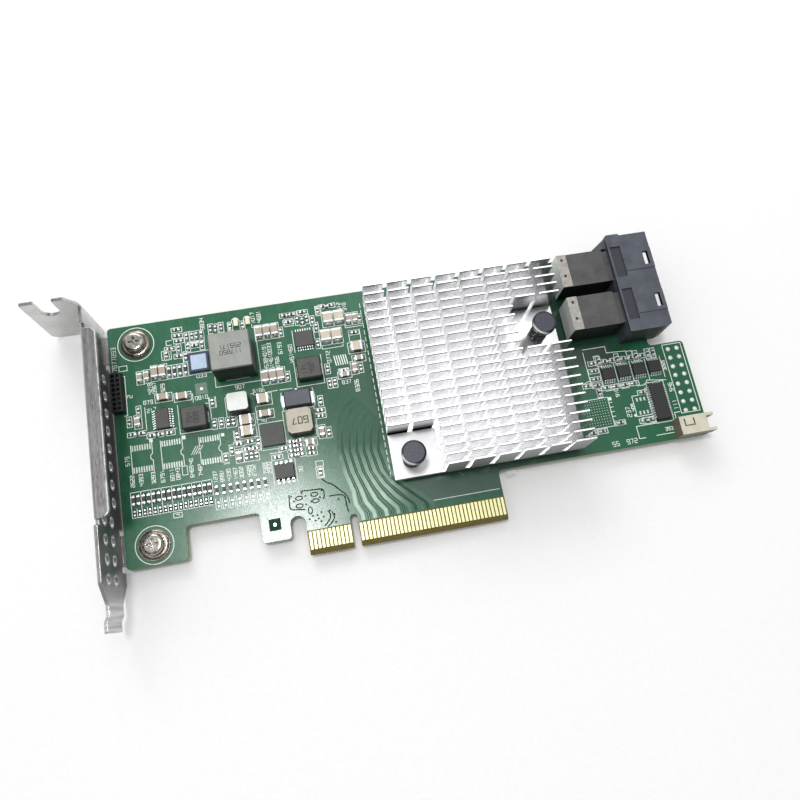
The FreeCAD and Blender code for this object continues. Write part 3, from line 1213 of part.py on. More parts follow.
def make_small_connectors():
    x, y = left + d("rear_in"), top - d("rear_drop") - d("rear_long")
    shell = box("rear_block", (x, y, 0), (d("rear_wide"), d("rear_long"), d("rear_high")))
    total = count("rear_pins")
    side = d("rear_pin_side")
    wells = []
    pins = []
    for i in range(total):
        pin_y = y + d("rear_long") / 2 + d("rear_pitch") * (i - (total - 1) / 2)
        for column in (0.28, 0.72):
            place = (x + d("rear_wide") * column, pin_y)
            wells.append(centred_box(f"rear_well_{i}_{column:.0%}", place, (side * 2, side * 2, 1.3),
                                     d("rear_high") - 1.2))
            pins.append(block(place[0].value, pin_y.value, val("rear_high") - 1.2, side.value, side.value, 0.9))
    keep(cut("rear_shell", shell, fuse("rear_wells", wells)), "rear_header_housing")
    group("rear_header_pins", pins)
    x, y = right - d("corner_in"), shoulder + d("corner_rise")
    wall, high, wide = d("corner_wall"), d("corner_high"), d("corner_wide")
    long = d("corner_long")
    shell = box("corner_block", (x, y, 0), (long, wide, high))
    prongs = []
    for index, low_side in enumerate((y, y + wide - wall)):
        prongs.append(box(f"corner_prong_{index}", (x + long - 0.1, low_side, 0.4),
                          (d("corner_prong") + 0.1, wall, high - 0.8)))
    solid = fuse("corner_solid", [shell] + prongs)
    cavity = box("corner_cavity_block", (x + long - d("corner_cavity"), y + wall, wall),
                 (d("corner_cavity") + d("corner_prong") + 1, wide - wall * 2, high - wall * 2))
    slots = [cavity]
    slit, tab = d("corner_slit"), d("corner_tab")
    tab_x, tab_y = x + long * 0.16, y + wide * 0.42
    for index, slit_x in enumerate((tab_x, tab_x + slit + tab)):
        slots.append(box(f"corner_slit_{index}", (slit_x, tab_y, high - wall * 0.75),
                         (slit, y + wide - wall - tab_y, wall)))
    slots.append(box("corner_slit_low", (tab_x, tab_y, high - wall * 0.75), (tab + slit * 2, slit, wall)))
    keep(cut("corner_shell", solid, fuse("corner_room", slots)), "corner_socket")
    pins = []
    pin_side = val("corner_pin")
    start = (x + long - d("corner_cavity")).value
    for i in range(3):
        pin_y = (y + wide / 2).value + 0.95 * (i - 1)
        pins.append(block(start + 1.6, pin_y, high.value / 2 - pin_side / 2, 3.2, pin_side, pin_side))
    group("corner_socket_pins", pins)


make_board()
make_contacts()
make_barrels()
make_bracket()
make_screws()
make_heat_sink()
make_pins()
make_springs()
make_controller()
make_port_housing()
make_wafer_block("upper_wafer_block", port_centres[0])
make_wafer_block("lower_wafer_block", port_centres[1])
make_port_details()
make_chokes()
make_power_parts()
make_leaded_chips()
make_passives()
make_small_connectors()
doc.recompute()

for item in doc.Objects:
    if "Invalid" in item.State or "Error" in item.State:
        raise RuntimeError(f"{item.Label} did not rebuild: {item.State}")

os.makedirs("parts", exist_ok=True)
for node in nodes:
    shape = node.Shape
    if shape.isNull() or not shape.isValid():
        raise RuntimeError(f"{node.Label} has no valid shape")
    shape.exportStep(os.path.join("parts", node.Label + ".step"))
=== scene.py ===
import math
import random

import bpy
from mathutils import Matrix, Vector


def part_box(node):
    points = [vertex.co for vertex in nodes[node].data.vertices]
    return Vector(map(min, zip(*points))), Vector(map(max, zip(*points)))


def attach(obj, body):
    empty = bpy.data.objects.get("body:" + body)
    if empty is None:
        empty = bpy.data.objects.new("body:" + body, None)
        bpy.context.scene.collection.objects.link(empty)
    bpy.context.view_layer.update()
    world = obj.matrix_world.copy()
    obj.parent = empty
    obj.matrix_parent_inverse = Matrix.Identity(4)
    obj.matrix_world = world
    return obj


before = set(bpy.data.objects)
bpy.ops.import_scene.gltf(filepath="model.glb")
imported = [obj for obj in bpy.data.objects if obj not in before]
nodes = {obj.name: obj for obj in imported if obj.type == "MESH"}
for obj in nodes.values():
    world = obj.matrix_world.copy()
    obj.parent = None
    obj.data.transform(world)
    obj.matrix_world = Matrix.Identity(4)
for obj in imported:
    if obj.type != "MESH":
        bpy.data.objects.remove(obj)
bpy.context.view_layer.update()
dice = random.Random(11)

# Lengths are in millimetres, in the frame of the CAD model. MM turns them into metres.
MM = 0.001
FLOOR = -3.32


def tone(red, green, blue):
    """An sRGB colour from 0 to 255 as linear light."""
    out = []
    for value in (red, green, blue):
        share = value / 255
        out.append(share / 12.92 if share <= 0.04045 else ((share + 0.055) / 1.055) ** 2.4)
    return (*out, 1.0)


class Finish:
    """A Principled material and the procedural nodes that feed it."""

    def __init__(self, name, **sockets):
        self.material = bpy.data.materials.new(name)
        self.material.use_nodes = True
        self.tree = self.material.node_tree
        self.shader = self.tree.nodes["Principled BSDF"]
        self.cache = {}
        for key, value in sockets.items():
            self.shader.inputs[key.replace("_", " ")].default_value = value

    def add(self, kind, inputs=(), **settings):
        """A new node, with its settings and with its inputs set or linked."""
        item = self.tree.nodes.new("ShaderNode" + kind)
        for key, value in settings.items():
            setattr(item, key, value)
        for key, value in dict(inputs).items():
            if isinstance(value, bpy.types.NodeSocket):
                self.tree.links.new(value, item.inputs[key])
            else:
                item.inputs[key].default_value = value
        return item

    def feed(self, socket, source):
        self.tree.links.new(source, self.shader.inputs[socket])

    def mm(self):
        """Place on the object in millimetres."""
        if "mm" not in self.cache:
            place = self.add("TexCoord").outputs["Object"]
            scaled = self.add("VectorMath", {0: place, "Scale": 1000.0}, operation="SCALE")
            self.cache["mm"] = scaled.outputs[0]
        return self.cache["mm"]

    def axis(self, name):
        if "split" not in self.cache:
            self.cache["split"] = self.add("SeparateXYZ", {0: self.mm()})
        return self.cache["split"].outputs[name]

    def normal(self, name):
        if "normal" not in self.cache:
            flat = self.add("NewGeometry").outputs["True Normal"]
            self.cache["normal"] = self.add("SeparateXYZ", {0: flat})
        return self.cache["normal"].outputs[name]

    def noise(self, scale, detail=3.0, rough=0.55, stretch=None):
        place = self.mm()
        if stretch:
            place = self.add("VectorMath", {0: place, 1: stretch}, operation="MULTIPLY").outputs[0]
        inputs = {"Vector": place, "Scale": scale, "Detail": detail, "Roughness": rough}
        return self.add("TexNoise", inputs).outputs["Fac"]

    def math(self, operation, first, second=0.0):
        return self.add("Math", {0: first, 1: second}, operation=operation).outputs[0]

    def above(self, value, limit):
        return self.math("GREATER_THAN", value, limit)

    def below(self, value, limit):
        return self.math("LESS_THAN", value, limit)

    def both(self, first, *others):
        """The product of several shares."""
        for share in others:
            first = self.math("MULTIPLY", first, share)
        return first

    def most(self, first, *others):
        """The largest of several shares."""
        for share in others:
            first = self.math("MAXIMUM", first, share)
        return first

    def remap(self, value, low=0.3, high=0.7, to_low=0.0, to_high=1.0):
        inputs = {"Value": value, "From Min": low, "From Max": high, "To Min": to_low, "To Max": to_high}
        return self.add("MapRange", inputs).outputs["Result"]

    def patches(self, scale, detail=3.0):
        """Soft patches from 0 to 1."""
        return self.remap(self.noise(scale, detail))

    def fade(self, axis, start, full):
        """0 at start and 1 at full along an axis."""
        return self.remap(self.axis(axis), start, full)

    def facing(self, axis, start, full):
        """0 to 1 as the surface turns toward an axis."""
        return self.remap(self.normal(axis), start, full)

    def area(self, *limits):
        """1 inside an area and 0 outside, from the fades at its sides."""
        return self.both(*(self.fade(*limit) for limit in limits))

    def blend(self, share, *colours):
        """The first colour where share is 0, the second where it is 1. Three values are sRGB."""
        first, second = (tone(*c) if isinstance(c, tuple) and len(c) == 3 else c for c in colours)
        return self.add("Mix", {"Factor": share, 6: first, 7: second}, data_type="RGBA").outputs[2]

    def bevel(self, radius, samples=4):
        """The normal of edges rounded by radius."""
        return self.add("Bevel", {"Radius": radius * MM}, samples=samples).outputs["Normal"]

    def round_edges(self, radius):
        self.cache["rounded"] = self.bevel(radius)
        self.feed("Normal", self.cache["rounded"])

    def edge_share(self, radius, low=0.02, high=0.3):
        """Near 1 along edges and 0 on flat faces."""
        flat = self.add("NewGeometry").outputs["True Normal"]
        dot = self.add("VectorMath", {0: self.bevel(radius), 1: flat}, operation="DOT_PRODUCT")
        return self.remap(self.math("SUBTRACT", 1.0, dot.outputs["Value"]), low, high)

    def bump(self, height, strength, depth):
        inputs = {"Height": height, "Strength": strength, "Distance": depth * MM}
        if "rounded" in self.cache:
            inputs["Normal"] = self.cache["rounded"]
        self.feed("Normal", self.add("Bump", inputs).outputs["Normal"])


def surface(name, light, dark, rough, patch=0.5, grain=6.0, bump=0.15, edge=0.08, edge_wear_and_highlight=None, shaded_low_side=None,
            lit_left_side=None, dress=None, **sockets):
    """Plastic, ceramic or metal with patches, grain, softened edges and, where asked, pale edges that are
    partly wear and partly painted highlight.

    The colour for the low side paints shade on the faces toward -Y, the colour for the left side paints light
    on the faces toward -X; dress may change the colour further.
    """
    mat = Finish(name, **sockets)
    if edge:
        mat.round_edges(edge)
    colour = mat.blend(mat.patches(patch), dark, light)
    fleck = mat.noise(grain, 2.0, 0.6)
    colour = mat.blend(mat.remap(fleck, 0.35, 0.7, 0.0, 0.35), colour, light)
    # Pale edges: partly wear, partly painted highlight.
    if edge_wear_and_highlight:
        pale_edges = mat.both(mat.edge_share(edge * 1.6), mat.remap(mat.noise(1.7), 0.35, 0.6))
        colour = mat.blend(pale_edges, colour, edge_wear_and_highlight)
    # Painted shade on the faces toward -Y and painted light on the faces toward -X.
    for side, axis in ((shaded_low_side, "Y"), (lit_left_side, "X")):
        if side:
            colour = mat.blend(mat.facing(axis, -0.6, -0.9), colour, side)
    if dress:
        colour = dress(mat, colour)
    mat.feed("Base Color", colour)
    mat.feed("Roughness", mat.remap(mat.noise(patch * 2.3), 0.25, 0.75, rough * 0.75, rough * 1.25))
    mat.bump(fleck, bump, 0.03)
    return mat


def metal(name, light, dark, rough, **more):
    return surface(name, light, dark, rough, patch=0.8, grain=8.0, bump=0.1, Metallic=1.0, **more)


def two_tone(name, top, side, rough, edge=0.1):
    """A moulded or ground block whose top face differs from its sides: partly its own two tones, partly
    painted light on the top and painted shade on the sides.
    """
    mat = Finish(name)
    mat.round_edges(edge)
    fleck = mat.noise(5.0, 3.0, 0.65)
    shade = mat.remap(mat.noise(0.35), 0.3, 0.7, 0.86, 1.06)
    top = tone(*top)
    deep = tuple(0.75 * channel for channel in top[:3]) + (1,)
    mottled = mat.blend(mat.remap(fleck, 0.3, 0.75, 0.0, 0.5), top, deep)
    # Painted light and shade: the top colour on upward faces and the darker side colour on the rest.
    colour = mat.blend(mat.facing("Z", 0.55, 0.85), side, mottled)
    shaded = mat.add("VectorMath", {0: colour, "Scale": shade}, operation="SCALE").outputs[0]
    mat.feed("Base Color", shaded)
    mat.feed("Roughness", mat.remap(fleck, 0.3, 0.7, rough * 0.85, rough * 1.15))
    mat.bump(fleck, 0.2, 0.04)
    return mat


# Areas of the board's upper face that are painted darker: between the port blocks and before the sink as
# painted shade, round the bundle as a darker green. Each lists the axis of each fade, where it starts and
# where it is full.
SHADE_BETWEEN_BLOCKS = (("X", 55.0, 60.0), ("X", 84.0, 76.0), ("Y", 35.0, 38.5))
SHADE_BEFORE_SINK = (("X", 10.0, 16.0), ("X", 68.0, 60.0), ("Y", 6.5, 8.5), ("Y", 16.0, 14.3))
BY_BUNDLE = (("X", -9.0, 1.0), ("X", 14.0, 11.5), ("Y", 20.0, 29.0), ("Y", 56.0, 44.0))
# The tongue's bare part: its upper end and its left side.
BARE_TOP = 6.1
TONGUE_LEFT = -13.0


def make_mask():
    """Glossy green resist on the faces, bare laminate on the edges and at the contacts."""
    mat = Finish("solder_resist")
    mat.round_edges(0.12)
    green = mat.blend(mat.patches(0.07, 4.0), (34, 92, 64), (46, 104, 75))
    planes = mat.remap(mat.noise(0.5, 1.0, 0.4, (1.0, 0.45, 1.0)), 0.52, 0.56, 0.0, 0.35)
    green = mat.blend(planes, green, (54, 112, 82))
    to_free_end = mat.remap(mat.axis("X"), -10.0, 70.0, 0.0, 0.55)
    green = mat.blend(to_free_end, green, (20, 84, 56))
    upper = mat.above(mat.normal("Z"), 0.0)
    shade_before_sink = mat.both(mat.area(*SHADE_BEFORE_SINK), upper)
    # Painted shade between the port blocks and before the sink, and a darker green round the bundle.
    for there, share, shade in (
        (mat.both(mat.area(*SHADE_BETWEEN_BLOCKS), upper), 0.85, (12, 32, 24)),
        (shade_before_sink, 0.6, (44, 58, 54)),
        (mat.both(mat.area(*BY_BUNDLE), upper), 0.7, (14, 66, 45)),
    ):
        green = mat.blend(mat.both(there, share), green, shade)
    fleck = mat.noise(3.0, 3.0, 0.7)
    green = mat.blend(mat.remap(fleck, 0.4, 0.75, 0.0, 0.3), green, (66, 128, 96))
    fibre = mat.remap(mat.noise(2.2, 3.0, 0.6, (0.3, 0.3, 6.0)))
    laminate = mat.blend(fibre, (104, 120, 66), (168, 178, 120))
    bare = mat.blend(fibre, (84, 74, 24), (112, 98, 38))
    on_tongue = mat.both(mat.below(mat.axis("Y"), BARE_TOP), mat.above(mat.axis("X"), TONGUE_LEFT))
    side = mat.below(mat.math("ABSOLUTE", mat.normal("Z")), 0.97)
    colour = mat.blend(side, green, laminate)
    mat.feed("Base Color", mat.blend(on_tongue, colour, bare))
    dull = mat.most(mat.both(mat.most(side, on_tongue), 0.65), mat.both(shade_before_sink, 0.4))
    mat.feed("Roughness", mat.most(mat.remap(mat.noise(1.4), 0.3, 0.7, 0.165, 0.23), dull))
    wave = {"Vector": mat.mm(), "Scale": 0.9, "Distortion": 0.6}
    across, along = (mat.add("TexWave", wave, bands_direction=axis).outputs["Fac"] for axis in "XY")
    mat.bump(mat.math("ADD", mat.both(across, along, 0.5), fleck), 0.10, 0.03)
    return mat


# Bracket: the upper end of its tongue, and the inner side and lower end of its flange.
TONGUE_HIGH = 1.0
FLANGE_INNER = -56.6
FLANGE_LOW = 12.0


def make_steel():
    """Folded nickel-plated sheet, brushed along its length, with scuffs; painted shade on its upward and
    inward faces and a painted white highlight along its edges.
    """
    mat = Finish("bracket_sheet")
    mat.round_edges(0.3)
    cloud = mat.patches(0.12, 4.0)
    brush = mat.noise(9.0, 2.0, 0.6, (1.0, 0.06, 1.0))
    colour = mat.blend(cloud, (164, 164, 164), (204, 203, 201))
    colour = mat.blend(mat.remap(brush, 0.3, 0.7, 0.0, 0.4), colour, (206, 205, 204))
    # Upward faces take a darker grey with lighter streaks: painted shade.
    dull = mat.blend(mat.remap(brush), (120, 118, 118), (158, 156, 156))
    streak = mat.remap(mat.noise(0.7, 3.0, 0.6, (2.2, 0.1, 1.0)), 0.42, 0.66)
    dull = mat.blend(mat.both(streak, 0.55), dull, (186, 185, 184))
    colour = mat.blend(mat.facing("Z", 0.55, 0.9), colour, dull)
    # Inward faces below the top take a darker grey: painted shade.
    inward_shade = mat.both(mat.facing("X", 0.6, 0.9), mat.fade("Y", 68.5, 63.0))
    colour = mat.blend(inward_shade, colour, mat.blend(cloud, (96, 97, 98), (142, 142, 143)))
    bands = mat.remap(mat.noise(0.5, 2.0, 0.5, (0.05, 1.0, 0.05)), 0.4, 0.6)
    banded = mat.blend(bands, (178, 178, 177), (246, 246, 245))
    tongue = mat.fade("Y", TONGUE_HIGH, TONGUE_HIGH - 6.0)
    colour = mat.blend(mat.both(tongue, 0.8), colour, banded)
    scuff = mat.remap(mat.noise(0.9, 5.0, 0.75, (1.0, 0.25, 1.0)), 0.6, 0.68)
    colour = mat.blend(mat.both(scuff, 0.6), colour, (112, 109, 106))
    # Painted highlight: white along the edges, broken by noise, and along the flange's inner edge, made less
    # metallic there.
    on_flange = mat.both(mat.above(mat.axis("X"), FLANGE_INNER), mat.above(mat.axis("Z"), FLANGE_LOW))
    flange_highlight = mat.both(mat.edge_share(0.7, 0.01, 0.1), on_flange, mat.remap(mat.noise(0.35), 0.4, 0.5))
    pale_edges = mat.both(mat.edge_share(0.3), mat.remap(mat.noise(1.3), 0.3, 0.5, 0.35, 1.0))
    pale_edges = mat.most(pale_edges, flange_highlight)
    mat.feed("Base Color", mat.blend(pale_edges, colour, (250, 250, 250)))
    painted_matt = mat.most(pale_edges, mat.both(inward_shade, 0.5))
    mat.feed("Metallic", mat.remap(painted_matt, 0.0, 1.0, 1.0, 0.25))
    smooth = mat.remap(brush, 0.3, 0.7, 0.16, 0.26)
    mat.feed("Roughness", mat.most(smooth, mat.both(painted_matt, 0.55)))
    mat.bump(brush, 0.08, 0.02)
    return mat


# Heat sink: its reach, the top of its base, its fins, and the walls and open sides of its cleared corners.
SINK_LOW, SINK_HIGH = (corner.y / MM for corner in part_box("heat_sink"))
SINK_RIGHT, FIN_TOP = (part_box("heat_sink")[1][axis] / MM for axis in (0, 2))
BASE_TOP = 4.1
FIN_THICK = 0.45
FIN_GAPS = 21
FIN_PITCH = (SINK_HIGH - SINK_LOW - FIN_THICK) / FIN_GAPS
NEAR_WALL = SINK_LOW + 5 * FIN_PITCH
FAR_WALL = SINK_LOW + 17 * FIN_PITCH
FAR_FRONT = FAR_WALL - 5 * FIN_PITCH
NEAR_RIGHT = 24.3
FAR_LEFT = 49.5


def make_aluminium():
    """Extruded fins with fine lengthwise lines and bright tops; painted shade on the faces toward -Y: a dark
    line under each top, a greyer upper face, darker wall feet, front row and right ends, the ends also less
    metallic.
    """
    mat = Finish("fin_metal")
    mat.round_edges(0.08)
    x, y, z = (mat.axis(name) for name in "XYZ")
    lines = mat.noise(7.0, 3.0, 0.6, (0.08, 1.0, 0.5))
    colour = mat.blend(mat.patches(0.09), (249, 249, 250), (254, 254, 254))
    colour = mat.blend(mat.remap(lines, 0.35, 0.7, 0.0, 0.3), colour, (238, 238, 240))
    frontal = mat.below(mat.normal("Y"), -0.7)
    depth = mat.math("SUBTRACT", FIN_TOP, z)
    # Painted shade on faces toward -Y: greyer near the top, and a dark line just under each top.
    upper_face_shade = mat.both(frontal, mat.remap(depth, 0.8, 5.5, 0.7, 0.15))
    colour = mat.blend(upper_face_shade, colour, (236, 235, 236))
    line = mat.both(frontal, mat.remap(depth, 0.6, 0.42))
    colour = mat.blend(line, colour, (106, 108, 108))
    near, far = mat.below(x, NEAR_RIGHT), mat.above(x, FAR_LEFT)
    # Painted shade on the walls of the cleared corners, darker toward their feet.
    low = mat.remap(z, BASE_TOP + 1.5, BASE_TOP + 7.5, 1.0, 0.15)
    for wall, across, shade in ((NEAR_WALL, near, (84, 87, 88)), (FAR_WALL, far, (104, 106, 106))):
        offset = mat.math("ABSOLUTE", mat.math("SUBTRACT", y, wall))
        there = mat.both(mat.below(offset, 0.3), across, frontal, low)
        colour = mat.blend(there, colour, shade)
    # Painted shade toward the fins' right ends and on the front row's faces.
    end = mat.both(mat.fade("X", SINK_RIGHT - 3.4, SINK_RIGHT - 1.0), mat.above(depth, 0.25))
    colour = mat.blend(mat.both(end, 0.4), colour, (150, 152, 151))
    front_row = mat.both(mat.below(y, SINK_LOW + 0.4), frontal)
    front_row_shade = mat.blend(mat.remap(lines), (164, 167, 166), (190, 192, 191))
    colour = mat.blend(front_row, colour, front_row_shade)
    mat.feed("Base Color", colour)
    mat.feed("Specular Tint", colour)
    base = mat.both(mat.below(z, BASE_TOP + 0.2), mat.above(mat.normal("Z"), 0.9))
    near_base = mat.both(base, near, mat.below(y, NEAR_WALL), 0.6)
    far_base = mat.both(base, far, mat.below(y, FAR_WALL), mat.above(y, FAR_FRONT), 0.2)
    dull = mat.most(near_base, far_base, mat.both(end, 0.2), mat.both(front_row, 0.45))
    mat.feed("Metallic", mat.math("SUBTRACT", 1.0, dull))
    smooth = mat.remap(lines, 0.3, 0.7, 0.14, 0.21)
    mat.feed("Roughness", mat.most(smooth, mat.both(dull, 0.8)))
    mat.bump(lines, 0.15, 0.02)
    return mat


def make_pin():
    """Glossy black plastic, greyer on the cap's top, partly its own tone and partly painted light, with
    painted shade along each rim and a painted white highlight on the lower-left part of each rim.
    """
    mat = Finish("pin_plastic")
    mat.round_edges(0.2)
    upward = mat.facing("Z", 0.55, 0.85)
    fleck = mat.noise(5.0, 3.0, 0.65)
    cap = mat.blend(mat.remap(fleck), (28, 31, 40), (74, 79, 92))
    colour = mat.blend(upward, (20, 21, 26), cap)
    lean = mat.add("SeparateXYZ", {0: mat.bevel(0.5, 6)}).outputs
    squares = [mat.both(lean[name], lean[name]) for name in "XY"]
    tilt = mat.math("SQRT", mat.math("ADD", *squares))
    # Painted shade along the cap's rim.
    rim = mat.both(mat.remap(tilt, 0.08, 0.3), upward)
    colour = mat.blend(rim, colour, (16, 17, 20))
    # Painted highlight: white on the lower-left part of each rim.
    rim_highlight = mat.remap(mat.math("ADD", lean["X"], lean["Y"]), -0.6, -0.78)
    colour = mat.blend(mat.both(rim_highlight, upward), colour, (236, 238, 240))
    mat.feed("Base Color", colour)
    mat.feed("Roughness", mat.remap(fleck, 0.3, 0.7, 0.2, 0.34))
    mat.bump(fleck, 0.12, 0.02)
    return mat


def make_trace():
    """Resist over copper: close to the plain resist high up, paler toward the tongue as a painted glare
    highlight, which painted shade holds back beside the sink.
    """
    mat = Finish("resist_on_copper", Specular_IOR_Level=0.36)
    patch = mat.patches(0.4)
    high = mat.blend(patch, (28, 82, 58), (37, 91, 67))
    low = mat.blend(patch, (148, 184, 161), (186, 210, 191))
    # Painted highlight: the pale glare toward the tongue, with less of it beside the sink as painted shade.
    sink_shade = mat.remap(mat.axis("X"), 8.0, 15.0, 1.0, 0.15)
    glare_zone = mat.both(mat.fade("Y", 26.0, 12.0), sink_shade)
    mat.feed("Base Color", mat.blend(glare_zone, high, low))
    mat.feed("Roughness", mat.remap(mat.noise(0.9), 0.25, 0.75, 0.16, 0.25))
    mat.bump(mat.noise(6.0, 2.0, 0.6), 0.15, 0.03)
    return mat


def make_gap():
    """Thin resist between two runs: faint high up; toward the tongue darker, as painted shade beside the
    glare-lit runs, and matt.
    """
    mat = Finish("resist_gap")
    patch = mat.patches(0.8)
    high = mat.blend(patch, (28, 74, 54), (34, 82, 60))
    # Painted shade: darker toward the tongue, where the runs carry painted glare.
    low = mat.blend(patch, (24, 56, 42), (32, 68, 51))
    glare_zone = mat.fade("Y", 34.0, 22.0)
    mat.feed("Base Color", mat.blend(glare_zone, high, low))
    mat.feed("Roughness", mat.remap(glare_zone, 0.0, 1.0, 0.26, 0.7))
    mat.feed("Specular IOR Level", mat.remap(glare_zone, 0.0, 1.0, 0.42, 0.2))
    mat.bump(mat.noise(6.0, 2.0, 0.6), 0.15, 0.03)
    return mat


PORT_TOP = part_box("port_housing")[1].z / MM - 0.2


def shade_recess(mat, colour):
    """Painted shade in the shallow recesses on the port housing: a dark floor and black left-facing walls."""
    height = mat.axis("Z")
    near_top = mat.both(mat.above(height, PORT_TOP - 0.7), mat.below(height, PORT_TOP - 0.1))
    floor = mat.both(near_top, mat.above(mat.normal("Z"), 0.9))
    wall = mat.both(near_top, mat.below(mat.normal("X"), -0.9))
    return mat.blend(wall, mat.blend(floor, colour, (48, 51, 60)), (10, 11, 13))


# Metals.
GOLD = surface("contact_gold", (237, 234, 182), (225, 220, 162), 0.42, patch=0.8, grain=8.0, bump=0.1,
               edge=0.05, Metallic=0.55)
TIN = metal("solder_tin", (238, 240, 240), (205, 208, 208), 0.32, edge=0.06)
STEEL = make_steel()
SCREW = metal("screw_nickel", (206, 202, 194), (142, 136, 128), 0.14, edge=0.14)
WASHER = metal("washer_nickel", (158, 148, 138), (104, 96, 88), 0.2, edge=0.1)
ALUMINIUM = make_aluminium()
SPRING = metal("spring_wire", (92, 92, 95), (50, 51, 54), 0.16, edge=0)
LID = metal("lid_nickel", (200, 200, 200), (172, 172, 174), 0.35)
# The rear header's pins are coloured dark as painted shade inside the housing's wells.
SHADED_HEADER_PINS = metal("header_pins_in_shade", (52, 50, 48), (34, 33, 32), 0.4, edge=0)
# Plastics and ceramics.
PIN = make_pin()
RUBBER = surface("pad_rubber", (150, 150, 156), (120, 122, 128), 0.8)
SUBSTRATE = surface("substrate_green", (44, 92, 62), (30, 74, 50), 0.45)
# Painted shade on the faces toward -Y of the port, wafers and caps, and painted light on the caps' faces
# toward -X; their pale edges are partly wear and partly painted highlight.
PORT = surface("port_plastic", (84, 88, 98), (58, 62, 70), 0.46, patch=0.25, grain=4.5, bump=0.25,
               edge=0.12, edge_wear_and_highlight=(116, 118, 130), shaded_low_side=(28, 36, 34), dress=shade_recess)
WAFER = surface("wafer_plastic", (84, 83, 83), (62, 61, 61), 0.5, patch=0.3, grain=4.0, bump=0.3,
                edge=0.12, edge_wear_and_highlight=(136, 130, 124), shaded_low_side=(22, 24, 23))
CAP = surface("cap_plastic", (182, 178, 170), (138, 135, 128), 0.45, patch=1.2, edge=0.14,
              edge_wear_and_highlight=(250, 250, 246), shaded_low_side=(70, 68, 62), lit_left_side=(216, 221, 215))
FERRITE = two_tone("ground_ferrite", (156, 159, 152), (17, 18, 18), 0.42)
DARK_FERRITE = two_tone("moulded_ferrite", (76, 78, 74), (15, 15, 16), 0.5)
CREAM = two_tone("cream_cover", (196, 189, 172), (84, 70, 54), 0.5)
WHITE = two_tone("white_ceramic", (236, 240, 236), (26, 26, 27), 0.35)
NAVY = surface("navy_plastic", (44, 52, 96), (28, 34, 70), 0.4)
PALE_BLUE = surface("pale_blue_plate", (196, 214, 234), (174, 196, 222), 0.35)
SLATE = two_tone("slate_plastic", (86, 90, 98), (28, 30, 34), 0.5)
CHIP = two_tone("chip_plastic", (74, 75, 73), (32, 32, 34), 0.52)
DARK_CHIP = two_tone("dark_chip_plastic", (38, 40, 40), (18, 18, 20), 0.5)
TAN = two_tone("tan_ceramic", (214, 204, 182), (84, 58, 40), 0.4)
BROWN = two_tone("brown_ceramic", (182, 170, 152), (72, 52, 42), 0.42)
DARK = surface("resistor_film", (62, 60, 60), (36, 34, 34), 0.4)
LIGHT = surface("lamp_resin", (246, 244, 220), (226, 222, 186), 0.3, edge=0.1)
SOCKET = two_tone("socket_nylon", (216, 209, 190), (104, 94, 78), 0.45, edge=0.15)
HEADER = two_tone("header_plastic", (30, 32, 32), (14, 15, 15), 0.6)
# The board and the thin layers on it.
MASK = make_mask()
TRACE = make_trace()
GAP = make_gap()
INK_WHITE = surface("legend_ink", (250, 252, 250), (232, 242, 235), 0.55, patch=2.5, grain=9.0, edge=0)
PAD = surface("tinned_pad", (206, 214, 206), (166, 178, 168), 0.4, patch=1.5, edge=0, Metallic=0.35)
DULL_TIN = surface("dull_solder", (250, 251, 250), (226, 229, 228), 0.38, patch=1.2, grain=7.0, edge=0,
                   Metallic=0.25)
# Dark lines at the copper planes' edges: partly their own gaps, partly painted shade in the glare.
PLANE_GAP_AND_SHADE = surface("plane_gap_and_shade", (34, 54, 44), (24, 42, 34), 0.8, patch=0.8, edge=0,
                  Specular_IOR_Level=0.15)
BARE = surface("bare_laminate", (112, 136, 118), (94, 120, 102), 0.5, patch=1.2, edge=0)
MARK = surface("print_dark", (60, 56, 52), (40, 38, 36), 0.6, patch=2.0, edge=0)

# Each finish and the CAD nodes that wear it.
DRESSES = (
    (MASK, "circuit_board"), (GOLD, "edge_contacts_front edge_contacts_back port_contacts"),
    (STEEL, "bracket"), (SCREW, "bracket_screws"), (WASHER, "bracket_washers"), (ALUMINIUM, "heat_sink"),
    (PIN, "push_pins"), (SPRING, "push_pin_springs"), (RUBBER, "thermal_pad"), (LID, "controller_lid"),
    (SUBSTRATE, "controller_substrate"), (PORT, "port_housing"), (CAP, "wafer_end_caps"),
    (WAFER, "upper_wafer_block lower_wafer_block"), (FERRITE, "large_choke_core"),
    (CREAM, "cream_choke_core"), (WHITE, "white_choke"),
    (DARK_FERRITE, "dark_choke_left dark_choke_centre"), (NAVY, "power_stage_body"),
    (PALE_BLUE, "power_stage_plate"), (SLATE, "rectifier_body"), (TAN, "large_capacitor_bodies"),
    (CHIP, "cream_choke_base regulator_chip clock_chip_body driver_chip_body flash_chip_body"),
    (DARK_CHIP, "buffer_chip_bodies memory_chip_body"),
    (BROWN, "mid_capacitor_bodies small_capacitor_bodies"), (DARK, "chip_resistor_bodies"),
    (LIGHT, "status_leds"), (HEADER, "rear_header_housing"), (SHADED_HEADER_PINS, "rear_header_pins"),
    (SOCKET, "corner_socket"),
    (TIN, "header_barrels controller_balls port_solder_tails large_choke_terminals dark_choke_terminals "
          "rectifier_terminals clock_chip_leads driver_chip_leads flash_chip_leads buffer_chip_leads "
          "memory_chip_leads large_capacitor_terminals mid_capacitor_terminals small_capacitor_terminals "
          "chip_resistor_terminals corner_socket_pins"),
)


def dress_nodes():
    for mat, names in DRESSES:
        for name in names.split():
            item = nodes[name]
            if not item.material_slots:
                item.data.materials.append(mat.material)
            for slot in item.material_slots:
                slot.material = mat.material


# Tops of the thin layers above the board's face.
INK = 0.03
PAD_TOP = 0.04
COMB_TOP = 0.045
RUN_TOP = 0.02
LINE_TOP = 0.012
PRINT = 0.02


